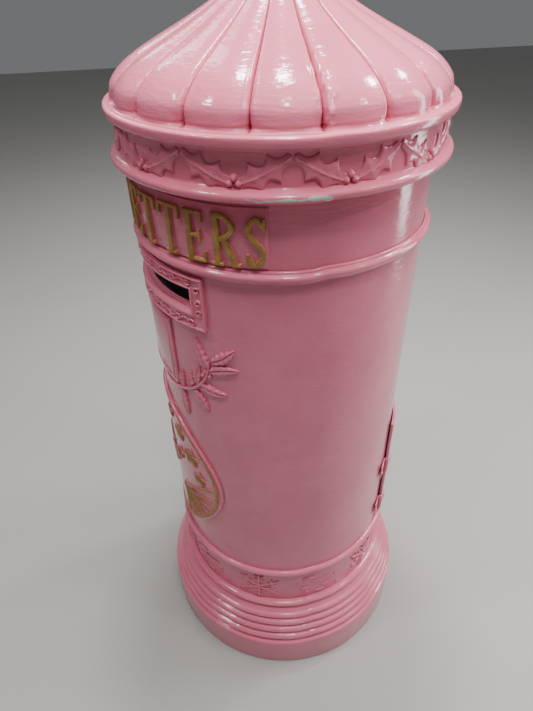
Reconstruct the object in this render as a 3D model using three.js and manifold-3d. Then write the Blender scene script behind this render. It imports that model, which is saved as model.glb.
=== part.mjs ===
// A free-standing decorative post box in moulded resin: a hollow round pillar on a stepped
// plinth, with a letter slot at the front, a hinged collection door at the back and a lobed cap.
//
// Millimetres, +Z up. The origin is on the floor at the centre of the plinth. The slot faces -Y.
// An azimuth is measured in degrees from the front (-Y), positive towards +X.

import * as THREE from 'three';
import { mergeVertices } from 'three/addons/utils/BufferGeometryUtils.js';
import Module from 'manifold-3d';

const wasm = await Module();
wasm.setup();

// ---------------------------------------------------------------- driving dimensions

const FACETS = 40; // sides of the round mouldings
const FACET_DEG = 360 / FACETS;
const GAP = 0.3; // clearance between pieces that touch
const STICK_GAP = 0.5; // clearance behind trim that is stuck on a curved face
const WALL = 6; // thickness of the mouldings

const SHAFT_R = 168;
const BORE_R = SHAFT_R - WALL;
const FLANGE_R = 140; // inner edge of the turned-in flanges that are screwed together
const SCREW_CIRCLE_R = 151;

const PLINTH_R = 206.6;
const PLINTH_BAND_TOP = 64;
const PLINTH_TOP = 124;
const STEP_COUNT = 4;
const STEP_IN = 5;

const SHAFT_TOP = 808;
const BEAD_Z = 213;
const BELT_Z = 729.5;
const CORNICE_TOP = 864;
const DOME_TOP = 982;
const LOBES = 18;

const SLOT = { half: 43.7, low: 678, high: 702 };
const SLOT_FRAME = { half: 50.4, low: 655, high: 718, depth: 5.5 };
const NOTICE = { half: 29.6, low: 550, high: 646, depth: 3 };
const TEXT_PLATE = { half: 74.7, low: 740, high: 800, depth: 1.8 };
const MEDALLION = { radius: 128, z: 371, rim: 9 };

const DOOR = { half: 31.4, low: 226, high: 424, in: 170.2, out: 174.2 };
const DOOR_HOLE = { half: 27, low: 236, high: 412 };
const REAR = 180;
const HINGE = { azimuth: 147.2, radius: 173, knuckle: 3, pin: 1.5, height: 26 };
const HINGE_HEIGHTS = { upper: 343, lower: 252 };
const LOCK = { azimuth: 202, z: 325, barrel: 8, plug: 4.8 };

const FLAP = { y: -98, z: 709, halfWidth: 106, drop: 54, pin: 2, sleeve: 4 };

// ---------------------------------------------------------------- materials

const finish = (color, roughness, metalness = 0) => ({ color, roughness, metalness });
const PINK = finish(0xc98391, 0.35);
const GOLD = finish(0x7a6230, 0.5, 0.3);
const STEEL = finish(0x9a9a9c, 0.35, 0.9);
const BRASS = finish(0xa8874a, 0.35, 0.9);
const RUBBER = finish(0x222224, 0.85);
const PLY = finish(0xb89468, 0.7);
const GALVANISED = finish(0x8c8f92, 0.45, 0.8);

// ---------------------------------------------------------------- solids and meshes

const group = new THREE.Group();
group.name = 'post_box';

/** Adds one named piece to the post box. */
function add(name, geometry, look, azimuth = 0) {
  const mesh = new THREE.Mesh(geometry, new THREE.MeshStandardMaterial(look));
  mesh.name = name;
  mesh.rotation.z = THREE.MathUtils.degToRad(azimuth);
  group.add(mesh);
  return mesh;
}

/** Volume enclosed by an indexed geometry: negative when its faces point in. */
function signedVolume(position, index) {
  const corners = [new THREE.Vector3(), new THREE.Vector3(), new THREE.Vector3()];
  let sum = 0;
  for (let i = 0; i < index.length; i += 3) {
    corners.forEach((corner, k) => corner.fromBufferAttribute(position, index[i + k]));
    sum += corners[0].dot(corners[1].cross(corners[2])) / 6;
  }
  return sum;
}

/** Position-only copy of a geometry with merged vertices, no collapsed faces, facing out. */
function closed(geometry) {
  const bare = new THREE.BufferGeometry();
  bare.setAttribute('position', geometry.getAttribute('position'));
  bare.setIndex(geometry.getIndex());
  const merged = mergeVertices(bare, 1e-4);
  const all = Array.from(merged.getIndex().array);
  const kept = [];
  for (let i = 0; i < all.length; i += 3) {
    const [a, b, c] = all.slice(i, i + 3);
    if (a !== b && b !== c && a !== c) kept.push(a, b, c);
  }
  const inward = signedVolume(merged.getAttribute('position'), kept) < 0;
  merged.setIndex(inward ? kept.reverse() : kept);
  return merged;
}

function toSolid(geometry) {
  const g = closed(geometry);
  const vertProperties = new Float32Array(g.getAttribute('position').array);
  const triVerts = new Uint32Array(g.getIndex().array);
  return new wasm.Manifold(new wasm.Mesh({ numProp: 3, vertProperties, triVerts }));
}

function fromSolid(solid) {
  const mesh = solid.getMesh();
  const geometry = new THREE.BufferGeometry();
  geometry.setAttribute('position', new THREE.BufferAttribute(mesh.vertProperties, 3));
  geometry.setIndex(new THREE.BufferAttribute(mesh.triVerts, 1));
  return geometry;
}

const union = (...parts) => fromSolid(parts.map(toSolid).reduce((a, b) => a.add(b)));
const cut = (body, ...tools) =>
  fromSolid(tools.map(toSolid).reduce((a, b) => a.subtract(b), toSolid(body)));
const common = (a, b) => fromSolid(toSolid(a).intersect(toSolid(b)));

/** Ring turned about Z from a closed profile of [radius, z] points. */
function ring(profile, facets = FACETS) {
  const loop = [...profile, profile[0]].map(([r, z]) => new THREE.Vector2(r, z));
  return closed(new THREE.LatheGeometry(loop, facets).rotateX(Math.PI / 2));
}

/** Solid turned about Z from a profile that starts and ends on the axis. */
function turned(profile, facets = 24) {
  const line = profile.map(([r, z]) => new THREE.Vector2(r, z));
  return closed(new THREE.LatheGeometry(line, facets).rotateX(Math.PI / 2));
}

const tube = (rIn, rOut, low, high, facets = FACETS) =>
  ring([[rIn, low], [rOut, low], [rOut, high], [rIn, high]], facets);

/** Upright cylinder centred on x, y. */
const rod = (radius, low, high, x = 0, y = 0, sides = 10) =>
  new THREE.CylinderGeometry(radius, radius, high - low, sides)
    .rotateX(Math.PI / 2)
    .translate(x, y, (low + high) / 2);

/** Cylinder along Y between two y values, at height z. */
const rodY = (radius, yFrom, yTo, z = 0, sides = 12) =>
  new THREE.CylinderGeometry(radius, radius, Math.abs(yTo - yFrom), sides)
    .translate(0, (yFrom + yTo) / 2, z);

/** Box given by its lowest and highest corners. */
function block(low, high) {
  const size = high.map((v, k) => v - low[k]);
  const mid = high.map((v, k) => (v + low[k]) / 2);
  return new THREE.BoxGeometry(...size).translate(...mid);
}

/** Point at an azimuth, radius and height. */
function at(azimuth, radius, z) {
  const a = THREE.MathUtils.degToRad(azimuth);
  return [radius * Math.sin(a), -radius * Math.cos(a), z];
}

/** Curved panel on the pillar: the stretch from one azimuth to another, between two radii. */
function panel(from, to, low, high, rIn, rOut) {
  const columns = [from];
  for (let k = Math.ceil(from / FACET_DEG + 0.01); k * FACET_DEG < to - 0.01; k += 1) {
    columns.push(k * FACET_DEG);
  }
  columns.push(to);
  const corners = (a) => [at(a, rIn, low), at(a, rOut, low), at(a, rOut, high), at(a, rIn, high)];
  const points = columns.flatMap(corners);
  const index = [0, 1, 2, 0, 2, 3];
  for (let c = 0; c + 1 < columns.length; c += 1) {
    for (let k = 0; k < 4; k += 1) {
      const [a, b] = [c * 4 + k, c * 4 + ((k + 1) % 4)];
      index.push(a, a + 4, b, b, a + 4, b + 4);
    }
  }
  const last = (columns.length - 1) * 4;
  index.push(last, last + 2, last + 1, last, last + 3, last + 2);
  const geometry = new THREE.BufferGeometry();
  geometry.setAttribute('position', new THREE.Float32BufferAttribute(points.flat(), 3));
  geometry.setIndex(index);
  return closed(geometry);
}

/** Flat outline in x, z carried straight back along Y, as a cutter for curved trim. */
function prism(shape) {
  const reach = 200;
  return new THREE.ExtrudeGeometry(shape, { depth: reach, bevelEnabled: false })
    .rotateX(Math.PI / 2);
}

/** Flat relief (x across, y up, z out) laid round the pillar at a radius. */
function wrapped(geometry, radius, azimuth, z) {
  const solid = closed(geometry);
  const position = solid.getAttribute('position');
  for (let i = 0; i < position.count; i += 1) {
    const turn = azimuth + THREE.MathUtils.radToDeg(position.getX(i) / radius);
    position.setXYZ(i, ...at(turn, radius + position.getZ(i), z + position.getY(i)));
  }
  return solid;
}

// ---------------------------------------------------------------- flat strokes for relief work

const extrude = (shape, depth) =>
  new THREE.ExtrudeGeometry(shape, { depth, bevelEnabled: false });

const polygon = (points) => new THREE.Shape(points.map(([x, y]) => new THREE.Vector2(x, y)));

/** Straight stroke of a given width between two points. */
function bar(x0, y0, x1, y1, width, depth) {
  const half = new THREE.Vector2(y0 - y1, x1 - x0).setLength(width / 2);
  const { x, y } = half;
  const outline = [[x0 - x, y0 - y], [x1 - x, y1 - y], [x1 + x, y1 + y], [x0 + x, y0 + y]];
  return extrude(polygon(outline), depth);
}

/** Curved stroke of a given width through a few points. */
function ribbon(points, width, depth, samples = 10) {
  const path = new THREE.SplineCurve(points.map(([x, y]) => new THREE.Vector2(x, y)));
  const left = [];
  const right = [];
  for (let i = 0; i <= samples; i += 1) {
    const p = path.getPoint(i / samples);
    const t = path.getTangent(i / samples);
    left.push([p.x - (t.y * width) / 2, p.y + (t.x * width) / 2]);
    right.unshift([p.x + (t.y * width) / 2, p.y - (t.x * width) / 2]);
  }
  return extrude(polygon([...left, ...right]), depth);
}

/** Pointed leaf from its base to its tip. */
function leaf([x0, y0], [x1, y1], width, depth) {
  const shape = new THREE.Shape();
  const side = new THREE.Vector2(y0 - y1, x1 - x0).setLength(width);
  const mid = [(x0 + x1) / 2, (y0 + y1) / 2];
  shape.moveTo(x0, y0);
  shape.quadraticCurveTo(mid[0] + side.x, mid[1] + side.y, x1, y1);
  shape.quadraticCurveTo(mid[0] - side.x, mid[1] - side.y, x0, y0);
  return new THREE.ExtrudeGeometry(shape, { depth, bevelEnabled: false, curveSegments: 3 });
}

// ---------------------------------------------------------------- plinth and shaft

function plinth() {
  const risers = [];
  const rise = (PLINTH_TOP - 8 - PLINTH_BAND_TOP) / STEP_COUNT;
  for (let step = 0; step < STEP_COUNT; step += 1) {
    const r = PLINTH_R - STEP_IN * (step + 1);
    const z = PLINTH_BAND_TOP + rise * step;
    risers.push([r, z + 2.5], [r, z + rise]);
  }
  const shell = ring([
    [180, 0], [PLINTH_R, 0], [PLINTH_R, PLINTH_BAND_TOP],
    ...risers,
    [176, PLINTH_TOP], [FLANGE_R, PLINTH_TOP],
    [FLANGE_R, PLINTH_TOP - WALL], [172, PLINTH_TOP - WALL],
    [PLINTH_R - WALL, PLINTH_BAND_TOP - 6], [PLINTH_R - WALL, WALL], [180, WALL],
  ]);
  return cut(shell, ...screwHoles(PLINTH_TOP - 20, PLINTH_TOP + 1));
}

const SCREW_AZIMUTHS = [60, 180, 300];

function screwHoles(low, high) {
  return SCREW_AZIMUTHS.map((a) => {
    const [x, y] = at(a, SCREW_CIRCLE_R, 0);
    return rod(3.4, low, high, x, y);
  });
}

/** Pan-head screw standing at each hole, its head just above the flange. */
function screws(name, seat) {
  SCREW_AZIMUTHS.forEach((a, i) => {
    const [x, y] = at(a, SCREW_CIRCLE_R, 0);
    const profile = [[0, -18], [3, -18], [3, GAP], [6, GAP], [6, 2.5], [4, 4], [0, 4]];
    const screw = turned(profile, 8).translate(x, y, seat);
    add(`${name}_${i + 1}`, screw, STEEL);
  });
}

function shaft() {
  const low = PLINTH_TOP + GAP;
  const high = SHAFT_TOP - GAP;
  const shell = ring([
    [FLANGE_R, low], [SHAFT_R, low], [SHAFT_R, high], [FLANGE_R, high],
    [FLANGE_R, high - WALL], [BORE_R, high - WALL], [BORE_R, low + WALL], [FLANGE_R, low + WALL],
  ]);
  const reach = [BORE_R - 12, SHAFT_R + 12];
  return cut(
    shell,
    panel(-SLOT.half, SLOT.half, SLOT.low, SLOT.high, ...reach),
    panel(REAR - DOOR_HOLE.half, REAR + DOOR_HOLE.half, DOOR_HOLE.low, DOOR_HOLE.high, ...reach),
    ...screwHoles(low - 1, low + WALL + 1),
    ...screwHoles(high - WALL - 1, high + 1),
  );
}

/** Half-round moulding round the shaft. */
function halfRound(z, halfHeight, proud) {
  const r = SHAFT_R + GAP + 0.1;
  return ring([
    [r, z - halfHeight], [r + proud, z - halfHeight * 0.4],
    [r + proud, z + halfHeight * 0.4], [r, z + halfHeight],
  ]);
}

add('base_plinth', plinth(), PINK);
add('body_shell', shaft(), PINK);
screws('plinth_screw', PLINTH_TOP + GAP + WALL);
add('foot_ring', halfRound(130.5, 5.8, 9.5), PINK);
add('base_bead', halfRound(BEAD_Z, 6, 6), PINK);
add('belt_ring', halfRound(BELT_Z, 8, 7.4), PINK);

// ---------------------------------------------------------------- cap and finial

function cornice() {
  const shell = ring([
    [FLANGE_R, SHAFT_TOP], [180, SHAFT_TOP], [186, SHAFT_TOP + 3], [186, SHAFT_TOP + 7],
    [181, SHAFT_TOP + 10], [176, SHAFT_TOP + 11], [176, CORNICE_TOP - 12],
    [185, CORNICE_TOP - 9], [185, CORNICE_TOP - 2], [183, CORNICE_TOP], [150, CORNICE_TOP],
    [150, CORNICE_TOP - WALL], [170, CORNICE_TOP - WALL], [170, SHAFT_TOP + WALL],
    [FLANGE_R, SHAFT_TOP + WALL],
  ]);
  return cut(shell, ...screwHoles(SHAFT_TOP - 1, SHAFT_TOP + WALL + 1));
}

/** Low dome whose lobes stand out between sharp valleys and fade towards the finial. */
function dome() {
  const foot = CORNICE_TOP + GAP;
  const outside = [[174, foot, 3], [175, 872, 4], [166, 887, 6], [150.7, 901, 6], [127.6, 913, 6],
    [98, 928, 5], [70, 943, 4], [50, 956, 3], [37, 969, 1], [30, DOME_TOP, 0]];
  const inside = [[6, DOME_TOP, 0], [6, DOME_TOP - WALL, 0], [20, DOME_TOP - WALL, 0],
    [28, 963, 0], [58, 941, 0], [106, 912, 0], [148, 889, 0], [162, foot, 0]];
  const facets = LOBES * 2;
  const rows = [...outside, ...inside];
  const points = [];
  for (let f = 0; f < facets; f += 1) {
    const a = (f * 360) / facets;
    const valley = 1 - Math.abs(Math.cos((a * LOBES * Math.PI) / 360));
    rows.forEach(([r, z, sink]) => {
      const depth = sink * valley;
      points.push(at(a, r - depth * 0.8, Math.max(foot, z - depth * 0.6)));
    });
  }
  const index = [];
  for (let f = 0; f < facets; f += 1) {
    const next = ((f + 1) % facets) * rows.length;
    for (let k = 0; k < rows.length; k += 1) {
      const up = (k + 1) % rows.length;
      const [a, b] = [f * rows.length + k, f * rows.length + up];
      index.push(a, next + k, b, b, next + k, next + up);
    }
  }
  const geometry = new THREE.BufferGeometry();
  geometry.setAttribute('position', new THREE.Float32BufferAttribute(points.flat(), 3));
  geometry.setIndex(index);
  return closed(geometry);
}

add('cap_cornice', cornice(), PINK);
screws('cap_screw', SHAFT_TOP + WALL);
add('cap_dome', dome(), PINK);

const COLLAR_LOW = DOME_TOP + GAP;
const COLLAR_HIGH = COLLAR_LOW + 9;
const BALL_R = 26;
const BALL_LOW = COLLAR_HIGH + GAP;
const STUD_R = 5;

add('finial_collar', ring([
  [STUD_R + 0.5, COLLAR_LOW], [24, COLLAR_LOW], [26, COLLAR_LOW + 3], [22, COLLAR_LOW + 6],
  [14, COLLAR_HIGH], [STUD_R + 0.5, COLLAR_HIGH],
], 20), PINK);

function finialBall() {
  const centre = BALL_LOW + BALL_R - 2;
  const profile = [[0, BALL_LOW]];
  for (let turn = -66; turn < 88; turn += 24) {
    const a = THREE.MathUtils.degToRad(turn);
    profile.push([BALL_R * Math.cos(a), centre + BALL_R * Math.sin(a)]);
  }
  profile.push([3, centre + BALL_R], [0, centre + BALL_R + 1]);
  return cut(turned(profile, 18), rod(STUD_R + 0.5, BALL_LOW - 1, BALL_LOW + 20));
}

add('finial_ball', finialBall(), PINK);
add('finial_stud', rod(STUD_R, DOME_TOP - 22, BALL_LOW + 18), STEEL);
const NUT_TOP = DOME_TOP - WALL - GAP;
add('finial_nut', cut(rod(9, NUT_TOP - 8, NUT_TOP, 0, 0, 6), rod(STUD_R + GAP, 900, 1000)), STEEL);

// ---------------------------------------------------------------- slot, flap and chute

const TRIM_IN = SHAFT_R + STICK_GAP;
const frameHole = panel(-SLOT.half, SLOT.half, SLOT.low - 2, SLOT.high + 2, 160, 180);
add('slot_frame', cut(
  panel(-SLOT_FRAME.half, SLOT_FRAME.half, SLOT_FRAME.low, SLOT_FRAME.high,
    TRIM_IN, TRIM_IN + SLOT_FRAME.depth),
  frameHole,
), PINK);

/** Sloping plate behind the slot, cut to the curve of the wall, that drops letters inside. */
function chute() {
  const edge = FLAP.y - 2;
  const radius = BORE_R - 1;
  const halfTurn = Math.acos(-edge / radius);
  const shape = new THREE.Shape();
  shape.absarc(0, 0, radius, -Math.PI / 2 - halfTurn, -Math.PI / 2 + halfTurn, false);
  const plate = new THREE.ExtrudeGeometry(shape, {
    depth: 3, bevelEnabled: false, curveSegments: 12,
  });
  const position = plate.getAttribute('position');
  const slope = 0.42;
  for (let i = 0; i < position.count; i += 1) {
    const drop = (position.getY(i) + radius) * slope;
    position.setZ(i, position.getZ(i) + SLOT.low - 5 - drop);
  }
  return closed(plate);
}

add('letter_chute', chute(), GALVANISED);

const FLAP_ENDS = FLAP.halfWidth + 1;
const BRACKET = 3;
const pinBore = (x0, x1, radius) =>
  new THREE.CylinderGeometry(radius, radius, x1 - x0, 12)
    .rotateZ(Math.PI / 2)
    .translate((x0 + x1) / 2, FLAP.y, FLAP.z);

function flapBracket(side) {
  const x = [FLAP_ENDS * side, (FLAP_ENDS + BRACKET) * side].sort((a, b) => a - b);
  const wallY = -Math.sqrt((BORE_R - 1.2) ** 2 - (FLAP_ENDS + BRACKET) ** 2);
  const plate = block([x[0], wallY, FLAP.z - 4], [x[1], FLAP.y + 8, FLAP.z + 10]);
  return cut(plate, pinBore(x[0] - 1, x[1] + 1, FLAP.pin + GAP));
}

add('flap_bracket_right', flapBracket(1), GALVANISED);
add('flap_bracket_left', flapBracket(-1), GALVANISED);
const pinEnd = FLAP_ENDS + BRACKET + 2;
add('flap_pin', pinBore(-pinEnd, pinEnd, FLAP.pin), STEEL);

const flapPlate = block(
  [-FLAP.halfWidth, FLAP.y - 1, FLAP.z - FLAP.drop], [FLAP.halfWidth, FLAP.y + 0.5, FLAP.z],
);
const flapSleeve = pinBore(-FLAP.halfWidth, FLAP.halfWidth, FLAP.sleeve);
const flapBore = pinBore(-FLAP.halfWidth - 1, FLAP.halfWidth + 1, FLAP.pin + GAP);
add('slot_flap', cut(union(flapPlate, flapSleeve), flapBore), GALVANISED);

// ---------------------------------------------------------------- panels and raised letters

const stuckPanel = ({ half, low, high, depth }) =>
  panel(-half, half, low, high, TRIM_IN, TRIM_IN + depth);

add('notice_panel', stuckPanel(NOTICE), PINK);
add('text_plate', stuckPanel(TEXT_PLATE), PINK);

const LETTER = { stem: 6.5, thin: 3.6, curve: 5.5, depth: 3.4, base: 741 };
const LETTER_R = TRIM_IN + TEXT_PLATE.depth + 1;
const LETTER_GAP = 4.3; // between neighbouring letters, along the plate
const WORD_GAP = 20;

const foot = (x0, x1) => [x0, 1.6, x1, 1.6, LETTER.thin];
const head = (x0, x1) => [x0, 50.4, x1, 50.4, LETTER.thin];
const stem = (x) => [x, 1, x, 51, LETTER.stem];

/** Each letter: its width, its straight strokes and its curved strokes. */
const GLYPHS = {
  A: {
    width: 33,
    bars: [[16.5, 51, 5.5, 1, 4], [16.5, 51, 27.5, 1, 6.5], [9, 18, 24, 18, 3.6],
      foot(0, 11), foot(22, 33)],
    ribbons: [],
  },
  C: {
    width: 28,
    bars: [[26, 50, 26, 38, 3]],
    ribbons: [[[26, 40], [17, 49], [7, 41], [4, 26], [7, 11], [17, 3], [26, 12]]],
  },
  D: {
    width: 30,
    bars: [stem(6.5)],
    ribbons: [[[2, 50], [14, 49], [24.5, 41], [26, 26], [24.5, 11], [14, 3], [2, 2]]],
  },
  E: {
    width: 25,
    bars: [stem(6.5), [1, 50.2, 22, 50.2, 3.6], [6, 27, 18, 27, 3.6], [1, 1.8, 24, 1.8, 3.6],
      [21, 51, 21, 41, 3], [17.5, 33, 17.5, 21, 3], [23, 1, 23, 12, 3]],
    ribbons: [],
  },
  L: {
    width: 25,
    bars: [stem(6.5), head(0, 13), [1, 1.8, 24, 1.8, 3.6], [23, 1, 23, 13, 3]],
    ribbons: [],
  },
  R: {
    width: 30,
    bars: [stem(6.5), foot(0, 13), [14, 27, 25, 1.5, 6], foot(20.5, 30)],
    ribbons: [[[2, 50], [14, 49.5], [22, 39], [14, 28.5], [6, 28]]],
  },
  S: {
    width: 21,
    bars: [[18, 50, 18, 38, 3], [2.5, 2, 2.5, 14, 3]],
    ribbons: [[[18, 41], [11, 49], [4, 42], [5, 33], [15, 21], [16.5, 11], [10, 3], [2.5, 11]]],
  },
  T: {
    width: 31,
    bars: [stem(15.5), head(1, 30), [2.5, 51, 2.5, 39, 3.6], [28.5, 51, 28.5, 39, 3.6],
      foot(8, 23)],
    ribbons: [],
  },
  and: {
    width: 31,
    bars: [[9.5, 35, 27, 2, 5.5]],
    ribbons: [
      [[27, 28], [21, 11], [11, 3], [4, 11], [8, 21], [17, 31]],
      [[15, 28], [19.5, 41], [13.5, 49], [8, 42], [10, 33]],
    ],
  },
};

const LEGEND = [['C', 'A', 'R', 'D', 'S'], ['and'], ['L', 'E', 'T', 'T', 'E', 'R', 'S']];

function glyph({ bars, ribbons }) {
  const strokes = [
    ...bars.map((b) => bar(...b, LETTER.depth)),
    ...ribbons.map((r) => ribbon(r, LETTER.curve, LETTER.depth, 9)),
  ];
  return union(...strokes);
}

/** Lays the legend round the plate, centred on the front, one solid for each letter. */
function addLegend() {
  const widths = LEGEND.flat().map((key) => GLYPHS[key].width);
  const gaps = LEGEND.map((word) => (word.length - 1) * LETTER_GAP);
  const total = [...widths, ...gaps].reduce((a, b) => a + b) + WORD_GAP * (LEGEND.length - 1);
  let cursor = -total / 2;
  let count = 0;
  LEGEND.forEach((word) => {
    word.forEach((key) => {
      const { width } = GLYPHS[key];
      const middle = THREE.MathUtils.radToDeg((cursor + width / 2) / LETTER_R);
      const flat = glyph(GLYPHS[key]).translate(-width / 2, 0, 0);
      count += 1;
      const name = `letter_${String(count).padStart(2, '0')}_${key}`;
      add(name, wrapped(flat, LETTER_R, middle, LETTER.base), GOLD);
      cursor += width + LETTER_GAP;
    });
    cursor += WORD_GAP - LETTER_GAP;
  });
}

addLegend();

// ---------------------------------------------------------------- medallion and sprigs

const PLATE_OUT = SHAFT_R + 0.4 + 3;
const EMBLEM = [PLATE_OUT + GAP, PLATE_OUT + GAP + 2.6];
const emblemLayer = () => tube(...EMBLEM, MEDALLION.z - 150, MEDALLION.z + 150);

/** Disc outline about the medallion's centre. */
function disc(radius, segments = 30) {
  const points = [];
  for (let k = 0; k < segments; k += 1) {
    const a = (k * 2 * Math.PI) / segments;
    points.push([radius * Math.cos(a), MEDALLION.z + radius * Math.sin(a)]);
  }
  return polygon(points);
}

const plateLayer = tube(SHAFT_R + 0.4, PLATE_OUT, MEDALLION.z - 150, MEDALLION.z + 150);
add('medallion_plate', common(plateLayer, prism(disc(MEDALLION.radius))), PINK);
const rimCut = cut(prism(disc(MEDALLION.radius)), prism(disc(MEDALLION.radius - MEDALLION.rim)));
add('medallion_rim', common(emblemLayer(), rimCut), GOLD);

/** Star with long and short points about the medallion's centre. */
function star(points, outer, inner) {
  const outline = [];
  for (let k = 0; k < points * 2; k += 1) {
    const a = (k * Math.PI) / points + Math.PI / 2;
    const r = k % 2 ? inner : outer;
    outline.push([r * Math.cos(a), MEDALLION.z + r * Math.sin(a)]);
  }
  return polygon(outline);
}

add('medallion_star', common(emblemLayer(), prism(star(8, 46, 17))), GOLD);

const FAN = {
  x: 55, z: MEDALLION.z - 46, from: 38, to: -88, rays: 8, root: 7, width: 3.2, reach: 120,
};

/** Fan of straight rays from a hub to just inside the medallion's rim. */
function fan(side) {
  const hub = new THREE.Shape().absarc(FAN.x * side, FAN.z, FAN.root, 0, 2 * Math.PI, false);
  const parts = [
    new THREE.ExtrudeGeometry(hub, { depth: 200, bevelEnabled: false, curveSegments: 8 }),
  ];
  for (let k = 0; k < FAN.rays; k += 1) {
    const a = THREE.MathUtils.degToRad(FAN.from + ((FAN.to - FAN.from) * k) / (FAN.rays - 1));
    const tip = [(FAN.x + FAN.reach * Math.cos(a)) * side, FAN.z + FAN.reach * Math.sin(a)];
    parts.push(bar(FAN.x * side, FAN.z, ...tip, FAN.width, 200));
  }
  const rays = union(...parts).rotateX(Math.PI / 2);
  const inside = prism(disc(MEDALLION.radius - MEDALLION.rim - 1.5));
  return common(emblemLayer(), common(rays, inside));
}

add('medallion_fan_right', fan(1), GOLD);
add('medallion_fan_left', fan(-1), GOLD);

const SPRIG = { r: SHAFT_R + 1.5, depth: 3, leafWidth: 17 };
const SPRIG_STEM = [[12, 544], [27.8, 545], [38.5, 558], [46.4, 582], [50.5, 618]];
const SPRIG_LEAVES = [
  [[49, 596], [44.1, 640]], [[50, 612], [61.1, 637]], [[48.6, 596], [62.1, 609]],
  [[43, 570], [56.7, 569]], [[38.5, 558], [47, 530]], [[32, 548], [33.5, 503]],
  [[32.6, 548], [33, 579]], [[36.6, 554], [38.2, 586]], [[42, 566], [44.3, 599]],
];

/** Leafy spray: a curved stem with pointed leaves, laid on the shaft beside the notice panel. */
function sprig(side) {
  const flat = ([a, z]) => [THREE.MathUtils.degToRad(a) * SPRIG.r * side, z];
  const leaves = SPRIG_LEAVES.map((ends) => {
    const [from, to] = ends.map(flat);
    const length = Math.hypot(to[0] - from[0], to[1] - from[1]);
    return leaf(from, to, Math.min(SPRIG.leafWidth, length * 0.4), SPRIG.depth);
  });
  const stalk = ribbon(SPRIG_STEM.map(flat), 4, SPRIG.depth, 16);
  return wrapped(union(stalk, ...leaves), SPRIG.r, 0, 0);
}

add('sprig_right', sprig(1), PINK);
add('sprig_left', sprig(-1), PINK);

// ---------------------------------------------------------------- inside floor

const LEDGE = { low: 206, high: 212 };
add('floor_ledge', tube(152, BORE_R - 0.6, LEDGE.low, LEDGE.high, FACETS / 2), PINK);
add('letter_floor', turned([
  [0, LEDGE.high + GAP], [158, LEDGE.high + GAP], [158, LEDGE.high + 6], [0, LEDGE.high + 6],
], 36), PLY);

// ---------------------------------------------------------------- collection door

const rearPanel = (half, low, high, rIn, rOut) =>
  panel(REAR - half, REAR + half, low, high, rIn, rOut);

add('door_gasket', cut(
  rearPanel(DOOR.half - 0.8, DOOR.low + 2, DOOR.high - 2, SHAFT_R + 0.4, DOOR.in - 0.4),
  rearPanel(DOOR_HOLE.half + 0.4, DOOR_HOLE.low - 1, DOOR_HOLE.high + 1, 160, 180),
), RUBBER);

const lockTurn = (geometry) => geometry.rotateZ(THREE.MathUtils.degToRad(LOCK.azimuth));
const lockHole = lockTurn(rodY(LOCK.barrel + 0.4, -185, -160, LOCK.z));
add('rear_door', cut(rearPanel(DOOR.half, DOOR.low, DOOR.high, DOOR.in, DOOR.out), lockHole), PINK);

/** Plate and knuckles of one hinge half, about the pin: x along the wall, y inwards. */
function hingeLeaf(plate, knuckles) {
  const barrels = knuckles.map(([low, high]) => rod(HINGE.knuckle, low, high));
  const bore = rod(HINGE.pin + GAP, -HINGE.height, HINGE.height);
  return cut(union(plate, ...barrels), bore);
}

function placeHinge(mesh, z) {
  mesh.position.set(...at(HINGE.azimuth, HINGE.radius, z));
}

const HALF_HINGE = HINGE.height / 2;
const MID_KNUCKLE = 4.5;
Object.entries(HINGE_HEIGHTS).forEach(([where, z]) => {
  const wallPlate = block([-22, 2.5, -HALF_HINGE], [-0.5, 4.1, HALF_HINGE]);
  const doorPlate = block([0.5, -3.1, -MID_KNUCKLE], [22, -1.5, MID_KNUCKLE]);
  const ends = [[-HALF_HINGE, -MID_KNUCKLE - GAP], [MID_KNUCKLE + GAP, HALF_HINGE]];
  const wallLeaf = cut(hingeLeaf(wallPlate, ends),
    block([-3.4, -4, -MID_KNUCKLE - GAP], [4, 5, MID_KNUCKLE + GAP]));
  const doorLeaf = hingeLeaf(doorPlate, [[-MID_KNUCKLE, MID_KNUCKLE]]);
  placeHinge(add(`hinge_leaf_wall_${where}`, wallLeaf, STEEL, HINGE.azimuth), z);
  placeHinge(add(`hinge_leaf_door_${where}`, doorLeaf, STEEL, HINGE.azimuth), z);
  placeHinge(add(`hinge_pin_${where}`, rod(HINGE.pin, -HALF_HINGE - 1, HALF_HINGE + 1), STEEL,
    HINGE.azimuth), z);
});

// ---------------------------------------------------------------- cam lock

const PLUG_FACE = -177.4;
const BARREL_END = -150;
const CAM = { near: -149.4, far: -146.9, width: 14, reach: 36 };

add('lock_body', lockTurn(cut(
  union(rodY(11, -176.8, -174.6, LOCK.z), rodY(LOCK.barrel, -176, BARREL_END, LOCK.z)),
  rodY(LOCK.plug + GAP, -180, -140, LOCK.z),
)), BRASS);

const plug = union(
  rodY(LOCK.plug, PLUG_FACE, BARREL_END + GAP, LOCK.z), rodY(3, -152, CAM.far + 3, LOCK.z),
);
const keySlot = block([-0.7, PLUG_FACE - 1, LOCK.z - 3.2], [0.7, PLUG_FACE + 2, LOCK.z + 3.2]);
add('lock_plug', lockTurn(cut(plug, keySlot)), BRASS);

add('lock_cam', lockTurn(cut(
  block([-CAM.width / 2, CAM.near, LOCK.z - CAM.reach], [CAM.width / 2, CAM.far, LOCK.z + 8]),
  rodY(3 + GAP, -155, -140, LOCK.z),
)), STEEL);

add('lock_keeper', lockTurn(block([20, -156.6, LOCK.z - 14], [38, -151, LOCK.z + 14])), STEEL);

export default group;
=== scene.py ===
"""Looks of a decorative pillar post box: glossy pink moulded resin with antique gold raised work.

Lengths are millimetres until a mesh is made. Azimuths are degrees from the front (-Y), positive
towards +X, as in the part's own frame. Every surface is a grid of points worked out in numpy.
"""

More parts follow.
